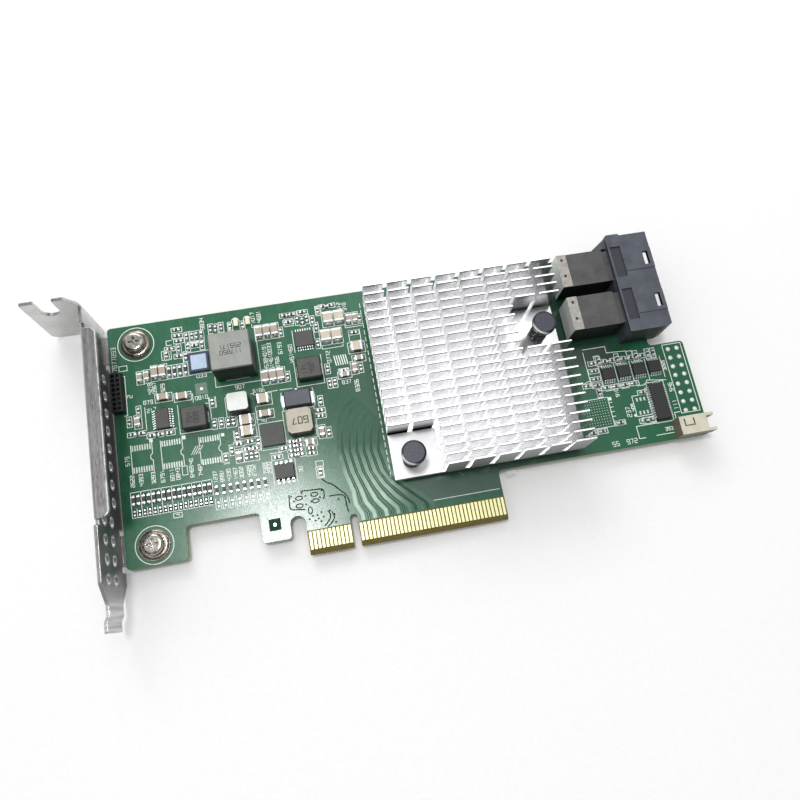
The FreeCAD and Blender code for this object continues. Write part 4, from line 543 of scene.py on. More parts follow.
class Flats:
    """Closed thin solids, in millimetres, gathered into one mesh."""

    def __init__(self):
        self.points = []
        self.faces = []

    def prism(self, outline, low, high):
        start, total = len(self.points), len(outline)
        self.points += [(x, y, low) for x, y in outline] + [(x, y, high) for x, y in outline]
        self.faces.append([start + i for i in reversed(range(total))])
        self.faces.append([start + total + i for i in range(total)])
        for i in range(total):
            j = (i + 1) % total
            self.faces.append([start + i, start + j, start + total + j, start + total + i])

    def box(self, x0, y0, x1, y1, low=0.0, high=INK):
        self.prism([(x0, y0), (x1, y0), (x1, y1), (x0, y1)], low, high)

    def block(self, x, y, wide, long, low=0.0, high=INK):
        """A box about a point, from half its width and half its length."""
        self.box(x - wide, y - long, x + wide, y + long, low, high)

    def stroke(self, path, width, low=0.0, high=INK, closed=False):
        """A flat line along the path."""
        total = len(path)
        left, right = [], []
        for i, (x, y) in enumerate(path):
            before = path[i - 1] if closed or i else path[i]
            after = path[(i + 1) % total] if closed or i < total - 1 else path[i]
            turns = []
            for (ax, ay), (bx, by) in ((before, (x, y)), ((x, y), after)):
                length = math.hypot(bx - ax, by - ay)
                if length > 1e-6:
                    turns.append(((ay - by) / length, (bx - ax) / length))
            nx, ny = sum(t[0] for t in turns) / len(turns), sum(t[1] for t in turns) / len(turns)
            reach = width / 2 / max(nx * nx + ny * ny, 0.35)
            left.append((x + nx * reach, y + ny * reach))
            right.append((x - nx * reach, y - ny * reach))
        start = len(self.points)
        for side in (left, right):
            for z in (low, high):
                self.points += [(x, y, z) for x, y in side]
        left_low, left_high, right_low, right_high = (start + total * k for k in range(4))
        for i in range(total if closed else total - 1):
            j = (i + 1) % total
            self.faces.append([left_high + j, left_high + i, right_high + i, right_high + j])
            self.faces.append([left_low + i, left_low + j, right_low + j, right_low + i])
            self.faces.append([left_low + j, left_low + i, left_high + i, left_high + j])
            self.faces.append([right_low + i, right_low + j, right_high + j, right_high + i])
        if not closed:
            self.faces.append([left_low, right_low, right_high, left_high])
            end = total - 1
            self.faces.append([right_low + end, left_low + end, left_high + end, right_high + end])

    def frame(self, x0, y0, x1, y1, width, low=0.0, high=INK):
        self.stroke([(x0, y0), (x1, y0), (x1, y1), (x0, y1)], width, low, high, True)

    def circle(self, x, y, radius, sides):
        angles = [2 * math.pi * i / sides for i in range(sides)]
        return [(x + radius * math.cos(angle), y + radius * math.sin(angle)) for angle in angles]

    def disc(self, x, y, radius, low, high, sides=14):
        self.prism(self.circle(x, y, radius, sides), low, high)

    def ring(self, x, y, outer, inner, low=0.0, high=INK, sides=18):
        self.stroke(self.circle(x, y, (outer + inner) / 2, sides), outer - inner, low, high, True)

    def skin(self, loops, closed=False):
        """Faces between loops of equal length; closed joins the last loop to the first."""
        start, sides = len(self.points), len(loops[0])
        for loop in loops:
            self.points += loop
        for ring in range(len(loops) if closed else len(loops) - 1):
            this, after = start + ring * sides, start + (ring + 1) % len(loops) * sides
            for i in range(sides):
                j = (i + 1) % sides
                self.faces.append([this + i, this + j, after + j, after + i])

    def dome(self, x, y, long, wide, low, high, sides=10):
        """A low solder mound, hanging down when high is below low."""
        start, first = len(self.points), len(self.faces)
        angles = [2 * math.pi * i / sides for i in range(sides)]
        loops = []
        for share, rise in ((1.0, 0.0), (0.92, 0.4), (0.66, 0.78), (0.3, 0.97)):
            z = low + (high - low) * rise
            loops.append([(x + long / 2 * share * math.cos(angle), y + wide / 2 * share * math.sin(angle), z)
                          for angle in angles])
        self.skin(loops)
        self.faces.append([start + i for i in reversed(range(sides))])
        self.faces.append([start + (len(loops) - 1) * sides + i for i in range(sides)])
        if high < low:
            self.faces[first:] = [face[::-1] for face in self.faces[first:]]

    def build(self, name, mat, slot=None, smooth=False):
        mesh = bpy.data.meshes.new(name)
        mesh.from_pydata([[c * MM for c in p] for p in self.points], [], self.faces)
        mesh.update()
        mesh.materials.append(mat.material)
        if smooth:
            mesh.polygons.foreach_set("use_smooth", [True] * len(mesh.polygons))
        item = bpy.data.objects.new(name, mesh)
        bpy.context.scene.collection.objects.link(item)
        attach(item, "root")


def solids(node):
    """The boxes of a node's separate solids, in millimetres: (low corner, high corner)."""
    mesh = nodes[node].data
    ids = {}
    parent = []

    def find(i):
        while parent[i] != i:
            parent[i] = parent[parent[i]]
            i = parent[i]
        return i

    key_of = []
    for vertex in mesh.vertices:
        key = tuple(round(c * 1e6) for c in vertex.co)
        if key not in ids:
            ids[key] = len(parent)
            parent.append(len(parent))
        key_of.append(ids[key])
    for polygon in mesh.polygons:
        first = find(key_of[polygon.vertices[0]])
        for index in polygon.vertices[1:]:
            parent[find(key_of[index])] = first
    places = {}
    for key, index in ids.items():
        places.setdefault(find(index), []).append([c / 1000 for c in key])
    boxes = []
    for points in places.values():
        columns = list(zip(*points))
        boxes.append(([min(c) for c in columns], [max(c) for c in columns]))
    return boxes


def middle(box):
    return [(a + b) / 2 for a, b in zip(*box)]


def smooth_path(path):
    """Rounds a path's corners by cutting them twice."""
    for _ in range(2):
        out = [path[0]]
        for (ax, ay), (bx, by) in zip(path, path[1:]):
            out.append((ax * 0.75 + bx * 0.25, ay * 0.75 + by * 0.25))
            out.append((ax * 0.25 + bx * 0.75, ay * 0.25 + by * 0.75))
        out.append(path[-1])
        path = out
    return path


# Strokes of each digit, one high and 0.6 wide.
DIGITS = {
    "0": [[(0, 0), (0.6, 0), (0.6, 1), (0, 1), (0, 0.1)]],
    "1": [[(0.1, 0.8), (0.3, 1), (0.3, 0)]],
    "2": [[(0, 1), (0.6, 1), (0.6, 0.5), (0, 0.5), (0, 0), (0.6, 0)]],
    "3": [[(0, 1), (0.6, 1), (0.6, 0), (0, 0)], [(0.1, 0.5), (0.5, 0.5)]],
    "4": [[(0, 1), (0, 0.5), (0.5, 0.5)], [(0.6, 1), (0.6, 0)]],
    "5": [[(0.6, 1), (0, 1), (0, 0.5), (0.6, 0.5), (0.6, 0), (0, 0)]],
    "6": [[(0.6, 1), (0, 1), (0, 0), (0.6, 0), (0.6, 0.5), (0.1, 0.5)]],
    "7": [[(0, 1), (0.6, 1), (0.25, 0)]],
    "8": [[(0, 0), (0.6, 0), (0.6, 1), (0, 1), (0, 0.1)], [(0.1, 0.5), (0.5, 0.5)]],
    "9": [[(0.5, 0.5), (0, 0.5), (0, 1), (0.6, 1), (0.6, 0), (0, 0)]],
}


def number(flats, x, y, digits, size, turn=0, width=0.15, low=0.0, high=INK):
    """Plain digits from x, y along the turned line."""
    cos, sin = math.cos(math.radians(turn)), math.sin(math.radians(turn))
    for place in range(digits):
        for line in DIGITS[str(dice.randrange(10))]:
            path = []
            for u, v in line:
                u, v = (u + place * 0.88) * size, v * size
                path.append((x + u * cos - v * sin, y + u * sin + v * cos))
            flats.stroke(path, width, low, high)


def two_terminal_parts():
    """(low corner, high corner, lies along X, name) of each small part with its two ends."""
    parts = []
    for name in ("large_capacitor", "mid_capacitor", "small_capacitor", "chip_resistor"):
        caps = solids(name + "_terminals")
        for body in solids(name + "_bodies"):
            x, y, _ = middle(body)
            near = sorted(caps, key=lambda cap: math.hypot(middle(cap)[0] - x, middle(cap)[1] - y))[:2]
            low = [min(values) for values in zip(body[0], near[0][0], near[1][0])]
            high = [max(values) for values in zip(body[1], near[0][1], near[1][1])]
            along_x = abs(middle(near[0])[0] - x) > abs(middle(near[0])[1] - y)
            parts.append((low, high, along_x, name))
    return parts


def make_solder(parts):
    """Solder mounds at the ends of the small parts."""
    mounds = Flats()
    for low, high, along_x, name in parts:
        reach = 0.42 if name == "chip_resistor" else 0.5
        wide = (high[1] - low[1] if along_x else high[0] - low[0]) * 0.98
        rise = (high[2] - low[2]) * 0.62
        x, y, _ = middle((low, high))
        for corner in (low, high):
            if along_x:
                mounds.dome(corner[0], y, reach * 2, wide, 0.0, rise)
            else:
                mounds.dome(x, corner[1], wide, reach * 2, 0.0, rise)
    mounds.build("solder_mounds", TIN, "tin", True)


# Rows of small parts at the lower left: first X, pitch and count.
LONG_ROW = (-54.1, 1.28, 16)
SHORT_ROW = (-33.2, 1.77, 8)
# The rows whose resistors have no frame: lower side, upper side and right end.
ROWS_LOW, ROWS_HIGH, ROWS_RIGHT = 14.0, 23.5, -19.0
# Pitch of the row of four alike chips.
CHIP_PITCH = 4.4
SCREW_PLACES = ((-49.95, 9.4), (-49.95, 63.3))
# Outlines of the empty footprints and of other frames: left, low, right and top side.
FOOTPRINTS = ((-53.7, 28.0, -48.3, 35.8), (-46.1, 27.8, -40.6, 35.8), (-36.3, 27.2, -30.9, 35.1))
LEFT_FRAMES = (
    (-54.9, 56.3, -52.8, 57.7), (-43.5, 57.6, -41.0, 60.1), (-33.2, 62.3, -31.8, 64.3),
    (-41.3, 25.7, -40.0, 28.0), (-30.6, 27.1, -29.2, 29.4), (-27.3, 31.9, -25.7, 35.1),
    (-10.4, 64.5, -6.7, 65.8), (-10.0, 61.8, -7.6, 64.0), (-14.0, 29.9, -5.6, 38.2),
    (-7.6, 19.0, -5.7, 21.8), (-7.4, 22.1, -5.5, 23.4), (-38.0, 52.2, -30.6, 58.6),
    (-9.4, 27.9, -6.6, 29.4), (-1.0, 64.0, 0.4, 66.2), (2.7, 46.2, 5.0, 47.2), (6.8, 54.6, 9.9, 57.8),
    (-44.6, 15.2, -42.5, 16.4), (-32.6, 42.3, -30.8, 45.2), (-3.4, 29.0, -2.0, 32.0),
    (-25.0, 63.1, -24.1, 65.2),
)
LEFT_LINES = (
    [(-54.4, 54.9), (-53.6, 54.8), (-53.7, 43.9), (-54.6, 43.8)],
    [(-40.6, 61.6), (-42.0, 61.6), (-42.0, 62.9), (-40.5, 62.9)],
    [(-40.4, 60.0), (-41.9, 60.0), (-41.9, 61.1), (-40.3, 61.1)],
    [(-30.3, 50.7), (-30.3, 47.7), (-18.1, 47.7), (-18.1, 62.9), (-18.9, 63.2)],
    [(-28.4, 39.0), (-28.4, 44.4), (-27.6, 44.6)], [(-21.6, 44.4), (-20.8, 44.4), (-20.8, 36.0)],
    [(-40.8, 44.6), (-40.8, 36.6), (-32.4, 36.6), (-32.4, 43.6), (-33.6, 43.9)],
    [(-9.1, 51.7), (-9.1, 44.2), (-1.7, 44.2), (-1.7, 52.4)], [(-8.3, 60.4), (-8.3, 54.0)],
    [(-2.5, 60.4), (-2.5, 54.0)], [(-20.7, 28.6), (-20.7, 35.8), (-13.8, 35.8)],
    [(-18.6, 25.5), (-18.6, 18.9)], [(-12.6, 25.5), (-12.6, 18.9)],
    [(-49.2, 45.4), (-49.2, 38.4), (-41.6, 38.4)], [(-13.6, 43.4), (-14.0, 41.2), (-13.6, 38.4)],
    [(-5.3, 43.4), (-4.9, 41.2), (-5.3, 38.4)], [(-37.5, 47.2), (-36.6, 47.0), (-36.6, 44.6)],
    [(-17.1, 44.2), (-14.4, 44.2)], [(-13.9, 44.2), (-10.5, 44.1)],
    [(-43.9, 16.0), (-43.2, 16.0), (-43.2, 15.6)], [(-20.4, 28.6), (-14.4, 28.5)],
    [(-18.8, 27.5), (-15.6, 27.3)], [(-5.9, 33.2), (-5.9, 30.2)],
    [(-0.9, 54.4), (-0.9, 53.7), (4.8, 53.7), (4.8, 54.4)], [(6.2, 60.0), (6.2, 58.8), (10.9, 58.8)],
)
# Filled corner marks: middle and half side.
CORNER_MARKS = ((-48.4, 36.2, 0.45), (-40.1, 35.6, 0.5), (-30.1, 34.6, 0.42), (-9.6, 43.7, 0.3))
RIGHT_FRAMES = (
    (91.9, 19.5, 97.2, 39.3), (79.6, 20.6, 84.0, 26.4), (84.4, 17.9, 89.3, 29.4), (73.6, 19.1, 75.7, 20.5),
    (80.7, 18.3, 84.2, 20.0), (70.4, 27.6, 71.8, 30.0), (72.0, 36.8, 73.5, 39.3), (81.4, 36.7, 83.0, 39.2),
)
RIGHT_LINES = (
    [(69.4, 40.9), (69.4, 31.6), (66.9, 30.4)], [(69.4, 41.6), (75.9, 41.6), (75.9, 39.7), (81.4, 39.4)],
    [(66.0, 19.2), (72.9, 19.2), (72.9, 27.3), (66.0, 27.3)], [(84.3, 29.2), (85.0, 30.2), (90.4, 29.4)],
    [(80.4, 14.6), (78.6, 14.6), (78.6, 18.0), (89.0, 18.0), (89.0, 13.4)], [(83.4, 14.7), (89.0, 14.7)],
    [(70.0, 31.7), (72.4, 31.7)], [(67.2, 31.9), (69.4, 32.6)], [(91.6, 20.0), (90.0, 20.0), (90.0, 17.2)],
)
# Plain digits beside the small parts: x, y, how many, size and turn.
NUMBERS = (
    (-55.4, 56.5, 7, 1.15, 90), (-52.1, 48.6, 1, 1.2, 90), (-49.4, 46.1, 3, 1.0, 0),
    (-48.6, 43.7, 3, 1.0, 8), (-47.0, 48.8, 4, 0.9, 90), (-45.8, 48.8, 4, 0.9, 90),
    (-43.6, 48.8, 3, 0.95, 90), (-36.0, 45.1, 4, 1.0, 0), (-35.0, 51.2, 3, 1.1, 0),
    (-25.3, 46.3, 3, 1.0, 0), (-54.3, 30.5, 3, 1.0, 90), (-31.5, 64.7, 4, 1.0, 90),
    (-17.8, 64.2, 4, 1.0, 90), (-16.1, 64.3, 4, 1.0, 90), (-15.9, 50.3, 9, 0.98, 90),
    (-14.5, 50.3, 9, 0.98, 90), (-12.9, 50.4, 4, 0.95, 90), (-11.7, 54.3, 4, 1.0, 90),
    (-8.9, 51.4, 6, 1.0, 90), (5.9, 64.2, 3, 0.95, 90), (7.4, 63.9, 3, 0.95, 90), (0.9, 49.7, 4, 1.0, 90),
    (2.9, 43.0, 3, 1.0, 0), (7.2, 40.4, 4, 1.0, 90), (-20.8, 44.6, 4, 0.9, 0), (-11.0, 21.4, 2, 0.9, 90),
    (-19.6, 36.2, 2, 0.8, 0), (-38.4, 28.3, 2, 0.9, 90), (91.3, 32.1, 4, 0.85, 90),
    (76.3, 27.0, 3, 0.9, 90), (78.2, 20.9, 3, 1.15, 90), (79.5, 22.4, 3, 0.8, 90), (91.5, 26.0, 3, 1.0, 90),
    (91.4, 20.9, 3, 1.1, 90), (86.2, 15.5, 3, 0.9, 0), (64.2, 17.7, 2, 0.9, 0), (71.0, 13.7, 2, 1.2, 0),
    (75.0, 13.7, 3, 1.2, 0), (41.5, 11.2, 3, 0.9, 0),
)
LONG_ROW_NUMBERS = (-53.5, -51.3, -48.2, -45.9, -43.5, -42.0, -38.5, -36.3)
SHORT_ROW_NUMBERS = (-32.8, -31.1, -29.3, -27.6, -26.1, -24.1, -22.9, -20.0, -18.9)


def row_places(row):
    start, pitch, count = row
    return [start + pitch * i for i in range(count)]


def make_legend(parts):
    """White lines, marks and plain digits printed on the resist."""
    ink = Flats()
    for low, high, along_x, name in parts:
        x0, y0, x1, y1 = low[0] - 0.3, low[1] - 0.3, high[0] + 0.3, high[1] + 0.3
        if name == "chip_resistor" and ROWS_LOW < low[1] < ROWS_HIGH and x1 < ROWS_RIGHT:
            continue
        if along_x:
            x0, x1 = x0 - 0.45, x1 + 0.45
        else:
            y0, y1 = y0 - 0.45, y1 + 0.45
        ink.frame(x0, y0, x1, y1, 0.16)
    for x, y in SCREW_PLACES:
        ink.ring(x, y, 4.85, 4.65, sides=64)
    draw_footprints(ink)
    draw_rows(ink)
    draw_left(ink)
    draw_right(ink)
    for x, y, digits, size, turn in NUMBERS:
        number(ink, x, y, digits, size, turn)
    for x in LONG_ROW_NUMBERS:
        number(ink, x, 24.8, 4, 0.92, 90, 0.16)
    for x in SHORT_ROW_NUMBERS:
        number(ink, x, 22.4, 4, 0.9, 90, 0.16)
    ink.build("legend", INK_WHITE)


def draw_footprints(ink):
    """Side lines of the empty footprints, one with a notch, and the corner marks."""
    for x0, y0, x1, y1 in FOOTPRINTS:
        ink.stroke([(x0, y1), (x0, y0)], 0.18)
        turn = (y0 + y1) / 2
        ink.stroke([(x1, y1), (x1, turn + 0.9), (x1 - 0.55, turn + 0.45), (x1 - 0.55, turn - 0.45),
                    (x1, turn - 0.9), (x1, y0)], 0.18)
    for x, y, half in CORNER_MARKS:
        ink.block(x, y, half, half)


def draw_rows(ink):
    """Brackets round the parts of the two rows at the lower left."""
    top, low = 23.4, 19.2
    for i, x in enumerate(row_places(LONG_ROW)):
        if i % 2 == 0:
            ink.stroke([(x - 0.66, top - i * 0.012), (x - 0.66, low)], 0.17)
            ink.stroke([(x - 0.66, top), (x + 1.7, top)], 0.17)
        ink.stroke([(x - 0.62, 19.1), (x - 0.62, 16.9), (x + 0.4, 16.9)], 0.16)
    start, pitch, count = LONG_ROW
    end = start - 0.62 + pitch * count
    ink.stroke([(end, top), (end, low)], 0.17)
    top, low = 18.3, 15.4
    for x in row_places(SHORT_ROW):
        ink.stroke([(x - 0.72, top), (x - 0.72, low), (x + 0.1, low)], 0.17)
        ink.stroke([(x + 0.62, low), (x + 0.62, top)], 0.17)


def draw_left(ink):
    """Frames, lines and hatching left of the sink."""
    for x0, y0, x1, y1 in LEFT_FRAMES:
        ink.frame(x0, y0, x1, y1, 0.16)
    for path in LEFT_LINES:
        ink.stroke(path, 0.18)
    ink.stroke([(-36.5, 61.4), (-32.0, 61.4)], 0.36)
    for x0, x1 in ((-24.1, -22.0), (-20.9, -18.8)):
        ink.stroke(smooth_path([(x0, 63.4), (x0, 66.6), (x1, 66.6), (x1, 63.4)]), 0.17)
    for y in range(16, 66, 2):
        ink.stroke([(11.2, y), (11.2, y + 1.3)], 0.17)
    ink.stroke([(21.0, 8.1), (38.4, 8.1)], 0.13)
    for i in range(6):
        ink.stroke([(1.8 + 0.62 * i, 51.3), (2.15 + 0.62 * i, 48.4)], 0.28)
    for i in range(4):
        ink.stroke([(-38.6 + 0.6 * i, 30.6), (-37.2 + 0.6 * i, 32.8)], 0.16)


def draw_right(ink):
    """Frames, lines and marks right of the sink, and the lines between the four alike chips."""
    for i in range(5):
        x = 72.7 + CHIP_PITCH * i
        ink.stroke([(x, 30.2), (x, 36.4)], 0.17)
    for i in range(4):
        step = CHIP_PITCH * i
        ink.stroke([(73.1 + step, 29.5), (73.1 + step, 29.0), (75.2 + step, 29.0), (75.2 + step, 29.5)], 0.16)
        ink.stroke([(73.4 + step, 36.7), (76.4 + step, 36.7)], 0.17)
    for x0, y0, x1, y1 in RIGHT_FRAMES:
        ink.frame(x0, y0, x1, y1, 0.17)
    for path in RIGHT_LINES:
        ink.stroke(path, 0.17)
    ink.box(72.9, 26.3, 73.9, 27.2)
    ink.box(78.9, 20.7, 79.6, 21.4)
    for i in range(5):
        ink.stroke([(73.0, 20.5 + 1.3 * i), (73.9, 20.5 + 1.3 * i)], 0.17)
    for i in range(4):
        ink.stroke([(81.3, 32.3 + 0.85 * i), (81.9, 32.3 + 0.85 * i)], 0.3)


def make_pads():
    """Bare tinned pads of the rows and the empty footprints."""
    pads = Flats()
    for row, heights, half in ((LONG_ROW, (18.5, 17.6), 0.22), (SHORT_ROW, (17.2, 16.2), 0.2)):
        for x in row_places(row):
            for y in heights:
                pads.block(x, y, half, half, 0.0, PAD_TOP)
    for i in range(3):
        for y in (21.5, 25.2):
            pads.box(80.5 + 1.05 * i, y - 0.5, 81.0 + 1.05 * i, y + 0.5, 0.0, PAD_TOP)
    pads.ring(-19.9, 9.1, 0.42, 0.05, PAD_TOP, 0.07)
    pads.disc(-34.1, 48.0, 0.42, RUN_TOP, 0.06)
    pads.build("bare_pads", TIN, "tin")
    combs = Flats()
    for left, low, _, high in FOOTPRINTS:
        for i in range(8):
            x = left + 0.42 + 0.64 * i
            for y in (low + 1.0, high - 1.0):
                combs.block(x, y, 0.18, 0.75, 0.0, COMB_TOP)
    for i in range(9):
        for j in range(10):
            combs.disc(66.3 + 0.72 * i, 20.0 + 0.75 * j, 0.13, 0.0, INK, 8)
    combs.build("footprint_pads", PAD, "tin")


# The outermost and innermost gap of the bundle of runs to the edge contacts, from the sink to the tongue.
OUTER_TRACE = [(6.2, 38.0), (3.4, 36.3), (1.9, 34.3), (1.1, 32.3), (0.5, 29.0), (-0.1, 25.0), (0.7, 19.1),
               (2.0, 14.2), (2.4, 10.7), (3.8, 8.0), (3.9, 6.3)]
INNER_TRACE = [(11.8, 30.9), (10.9, 30.0), (10.5, 29.2), (10.1, 28.2), (9.8, 26.7), (9.2, 23.8), (10.2, 18.0),
               (12.0, 15.0), (15.4, 11.5), (19.0, 7.9), (19.2, 6.3)]
GAP_COUNT = 6
SINGLE_RUNS = (
    [(-17.3, 15.4), (-16.5, 16.9), (-15.4, 17.5), (-13.0, 17.5), (-11.8, 18.5), (-11.5, 20.0), (-11.9, 21.7)],
    [(-16.4, 15.2), (-15.5, 16.7), (-13.1, 16.8), (-11.4, 17.9), (-11.0, 19.7)],
)
# Edges of the copper planes above the tongue, dots in them, and ovals: middle, half length and half width.
# They are drawn dark, partly as the planes' own gaps and partly as painted shade of the copper edges in the
# glare.
PLANE_LINES = (
    [(-15.4, 15.9), (-15.7, 12.5), (-15.1, 12.0), (-11.8, 11.6)],
    [(-12.4, 16.4), (-9.0, 16.2), (-6.6, 16.1), (-6.4, 14.9), (-6.8, 13.3)],
    [(-6.5, 18.6), (-5.4, 17.4), (-4.1, 16.9), (-2.3, 14.9), (-0.7, 13.3), (-0.4, 11.2)],
    [(-5.4, 13.9), (-3.3, 13.9), (-1.2, 13.5), (-1.3, 10.5), (-1.0, 9.1)],
    [(-7.6, 6.6), (-6.1, 7.9), (-5.6, 9.1), (-6.2, 10.3)],
    [(-6.9, 6.2), (-5.4, 7.3), (-4.7, 8.4), (-5.2, 9.9)],
)
PLANE_DOTS = (
    (-14.9, 15.4), (-12.2, 15.9), (-11.3, 15.0), (-14.3, 14.1), (-11.4, 12.8), (-10.0, 13.3), (-7.7, 14.0),
    (-7.0, 15.7), (-3.1, 12.7), (-5.7, 10.2), (-4.7, 9.1), (-11.1, 8.9), (-9.7, 8.3), (-8.8, 8.7),
    (-7.5, 8.9), (-7.9, 10.2), (-4.6, 7.1), (-9.0, 9.6), (-10.2, 9.6), (-8.2, 7.9),
)
PLANE_OVALS = ((-13.0, 14.7, 0.9, 0.5), (-13.1, 12.7, 0.9, 0.5), (-10.6, 11.1, 0.5, 0.9),
               (-9.0, 15.0, 0.9, 0.5), (-8.9, 13.3, 0.9, 0.5))


def between(share):
    """A path part of the way from the outermost gap to the innermost."""
    return [(a + (c - a) * share, b + (e - b) * share) for (a, b), (c, e) in zip(OUTER_TRACE, INNER_TRACE)]


def make_traces():
    """Copper under the resist: the bundle to the edge contacts with its gaps, and single runs."""
    copper, gaps, bare = Flats(), Flats(), Flats()
    for i in range(GAP_COUNT + 1):
        copper.stroke(between((i - 0.5) / (GAP_COUNT - 1)), 0.95, 0.0, RUN_TOP)
    for i in range(GAP_COUNT):
        middle_line = between(i / (GAP_COUNT - 1))
        copper.stroke(middle_line, 0.13, 0.0, 0.03)
        gaps.stroke(middle_line, 0.58, 0.0, 0.024)
    for path in SINGLE_RUNS:
        copper.stroke(smooth_path(path), 0.22, 0.0, 0.025)
    for x in row_places(LONG_ROW):
        gaps.box(x - 0.44, 17.05, x + 0.44, 18.95, 0.0, LINE_TOP)
        gaps.box(x - 0.5, 19.7, x + 0.5, 22.95, 0.0, LINE_TOP)
    gaps.box(-21.4, 7.6, -18.4, 10.6, 0.0, PAD_TOP)
    bare.box(-35.7, 46.5, -32.6, 49.6, 0.0, RUN_TOP)
    copper.build("traces", TRACE, "solder_mask")
    bare.build("bare_laminate", BARE)
    gaps.build("resist_gaps", GAP, "solder_mask")


def make_outlines():
    """Dark edges of the copper planes above the tongue: partly their own gaps, partly painted shade in the
    glare.
    """
    lines = Flats()
    for path in PLANE_LINES:
        lines.stroke(smooth_path(path), 0.32, 0.0, LINE_TOP)
    for x, y in PLANE_DOTS:
        lines.disc(x, y, 0.26, 0.0, RUN_TOP, 10)
    turns = [i * math.pi / 8 for i in range(16)]
    for x, y, long, wide in PLANE_OVALS:
        oval = [(x + long * math.cos(turn), y + wide * math.sin(turn)) for turn in turns]
        lines.stroke(oval, 0.28, 0.0, LINE_TOP, True)
    lines.build("plane_gaps_and_shade", PLANE_GAP_AND_SHADE, "solder_mask")


def make_prints():
    """Plain digits in dark print on the tops of the chokes."""
    marks = Flats()
    for node in ("dark_choke_left", "dark_choke_centre"):
        low, high = (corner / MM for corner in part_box(node))
        for column in (0.42, 0.68):
            x, y = low.x + (high.x - low.x) * column, low.y + (high.y - low.y) * 0.2
            number(marks, x, y, 3, 1.2, 90, 0.26, high.z, high.z + PRINT)
    for node, rows, digits, size, lift in (("large_choke_core", 2, 6, 1.1, 0.2),
                                           ("cream_choke_core", 1, 3, 1.7, 1.2)):
        low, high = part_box(node)
        x = (low.x + high.x) / 2 / MM + digits * size * 0.44
        y = (low.y + high.y) / 2 / MM
        top = high.z / MM
        for row in range(rows):
            line = y - size * (0.25 - 1.4 * row) + lift
            number(marks, x, line, digits, size, 180, 0.15 * size, top, top + PRINT)
    marks.build("prints", MARK)


def make_cones():
    """The dished faces of the washers, from under the head to near the rim."""
    cones = Flats()
    for low, high in solids("bracket_washers"):
        x, y, _ = middle((low, high))
        rim = (high[0] - low[0]) / 2
        loops = []
        for share, rise in ((0.97, 0.0), (0.93, 0.1), (0.62, 0.42), (0.55, 0.0)):
            loops.append([(px, py, high[2] + rise) for px, py in cones.circle(x, y, rim * share, 48)])
        cones.skin(loops, True)
    cones.build("washer_cones", WASHER, None, True)


def make_plugs():
    """Solder in the empty header's holes."""
    plugs = Flats()
    for box in solids("header_barrels"):
        x, y, _ = middle(box)
        plugs.dome(x, y, 1.16, 1.16, -0.2, 0.16, 14)
    plugs.build("header_solder", DULL_TIN, "tin", True)


# The solder side: its face, the pairs of pads under the controller, and frames as seen from that side.
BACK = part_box("circuit_board")[0].z / MM
BACK_INK = (BACK - INK, BACK)
BACK_RUN = (BACK - RUN_TOP, BACK)
BACK_PLACES = [(24.5 + 5.6 * i, 25.0 + 6.2 * j) for i in range(6) for j in range(6)]
BACK_FRAMES = ((75.0, 52.5, 84.0, 56.5), (-46.0, 52.0, -36.0, 60.0), (-30.0, 50.0, -18.0, 62.0),
               (-52.0, 26.0, -30.0, 36.0))


def make_back():
    """The solder side: solder under the header, bare pads and a plain legend, drawn in mirror image."""
    solder, pads, ink = Flats(), Flats(), Flats()
    for box in solids("header_barrels"):
        x, y, _ = middle(box)
        solder.dome(x, y, 1.5, 1.5, BACK, BACK - 0.5, 14)
    for x, y in BACK_PLACES:
        for side in (-0.75, 0.75):
            pads.block(x + side, y, 0.35, 0.45, BACK - COMB_TOP, BACK)
        ink.frame(-x - 1.4, y - 0.75, -x + 1.4, y + 0.75, 0.14, *BACK_INK)
    for x0, y0, x1, y1 in BACK_FRAMES:
        ink.frame(-x1, y0, -x0, y1, 0.16, *BACK_INK)
        number(ink, -x1, y1 + 0.6, 4, 1.1, 0, 0.18, *BACK_INK)
    for box in solids("push_pins"):
        x, y, _ = middle(box)
        ink.ring(-x, y, 3.4, 3.2, *BACK_INK, 40)
    for i in range(10):
        number(ink, 34.0 - 5.6 * i, 22.0, 3, 0.95, 0, 0.16, *BACK_INK)
    ink.points = [(-x, y, z) for x, y, z in ink.points]
    ink.faces = [face[::-1] for face in ink.faces]
    solder.build("back_solder", TIN, "tin", True)
    pads.build("back_pads", DULL_TIN, "tin")
    ink.build("back_legend", INK_WHITE)


def make_back_copper():
    """Runs from the rear contacts and along the card, the vias where they end, and scattered vias."""
    copper, vias = Flats(), Flats()

    def via(x, y):
        vias.ring(x, y, 0.36, 0.14, BACK - PAD_TOP, BACK, 12)

    for i in range(16):
        x = 8.5 + 1.9 * i
        turn = 12.0 + 2.1 * (i % 6)
        end = turn + 7.5 + i % 3
        copper.stroke([(x, 6.4), (x, turn), (x + 1.6, turn + 1.6), (x + 1.6, end)], 0.28, *BACK_RUN)
        via(x + 1.6, end)
    for i in range(12):
        y = 38.5 + 1.05 * i
        start, end = -44.0 + 1.6 * i, 17.0 - 0.7 * i
        path = [(start, y - 5.0), (start + 5.0, y), (13.0 - 0.7 * i, y), (end, y + 4.0)]
        copper.stroke(path, 0.26, *BACK_RUN)
        via(start, y - 5.0)
        via(end, y + 4.0)
    for i in range(9):
        y = 30.0 + 1.2 * i
        copper.stroke([(63.0, y), (70.0, y), (74.0, y + 4.0), (81.0, y + 4.0)], 0.26, *BACK_RUN)
        via(81.0, y + 4.0)
    scatter = random.Random(5)
    for _ in range(160):
        x, y = scatter.uniform(-45.0, 60.0), scatter.uniform(16.0, 66.0)
        vias.ring(x, y, 0.34, 0.13, BACK - 0.035, BACK, 10)
    copper.build("back_runs", TRACE, "solder_mask")
    vias.build("back_vias", PAD, "tin")


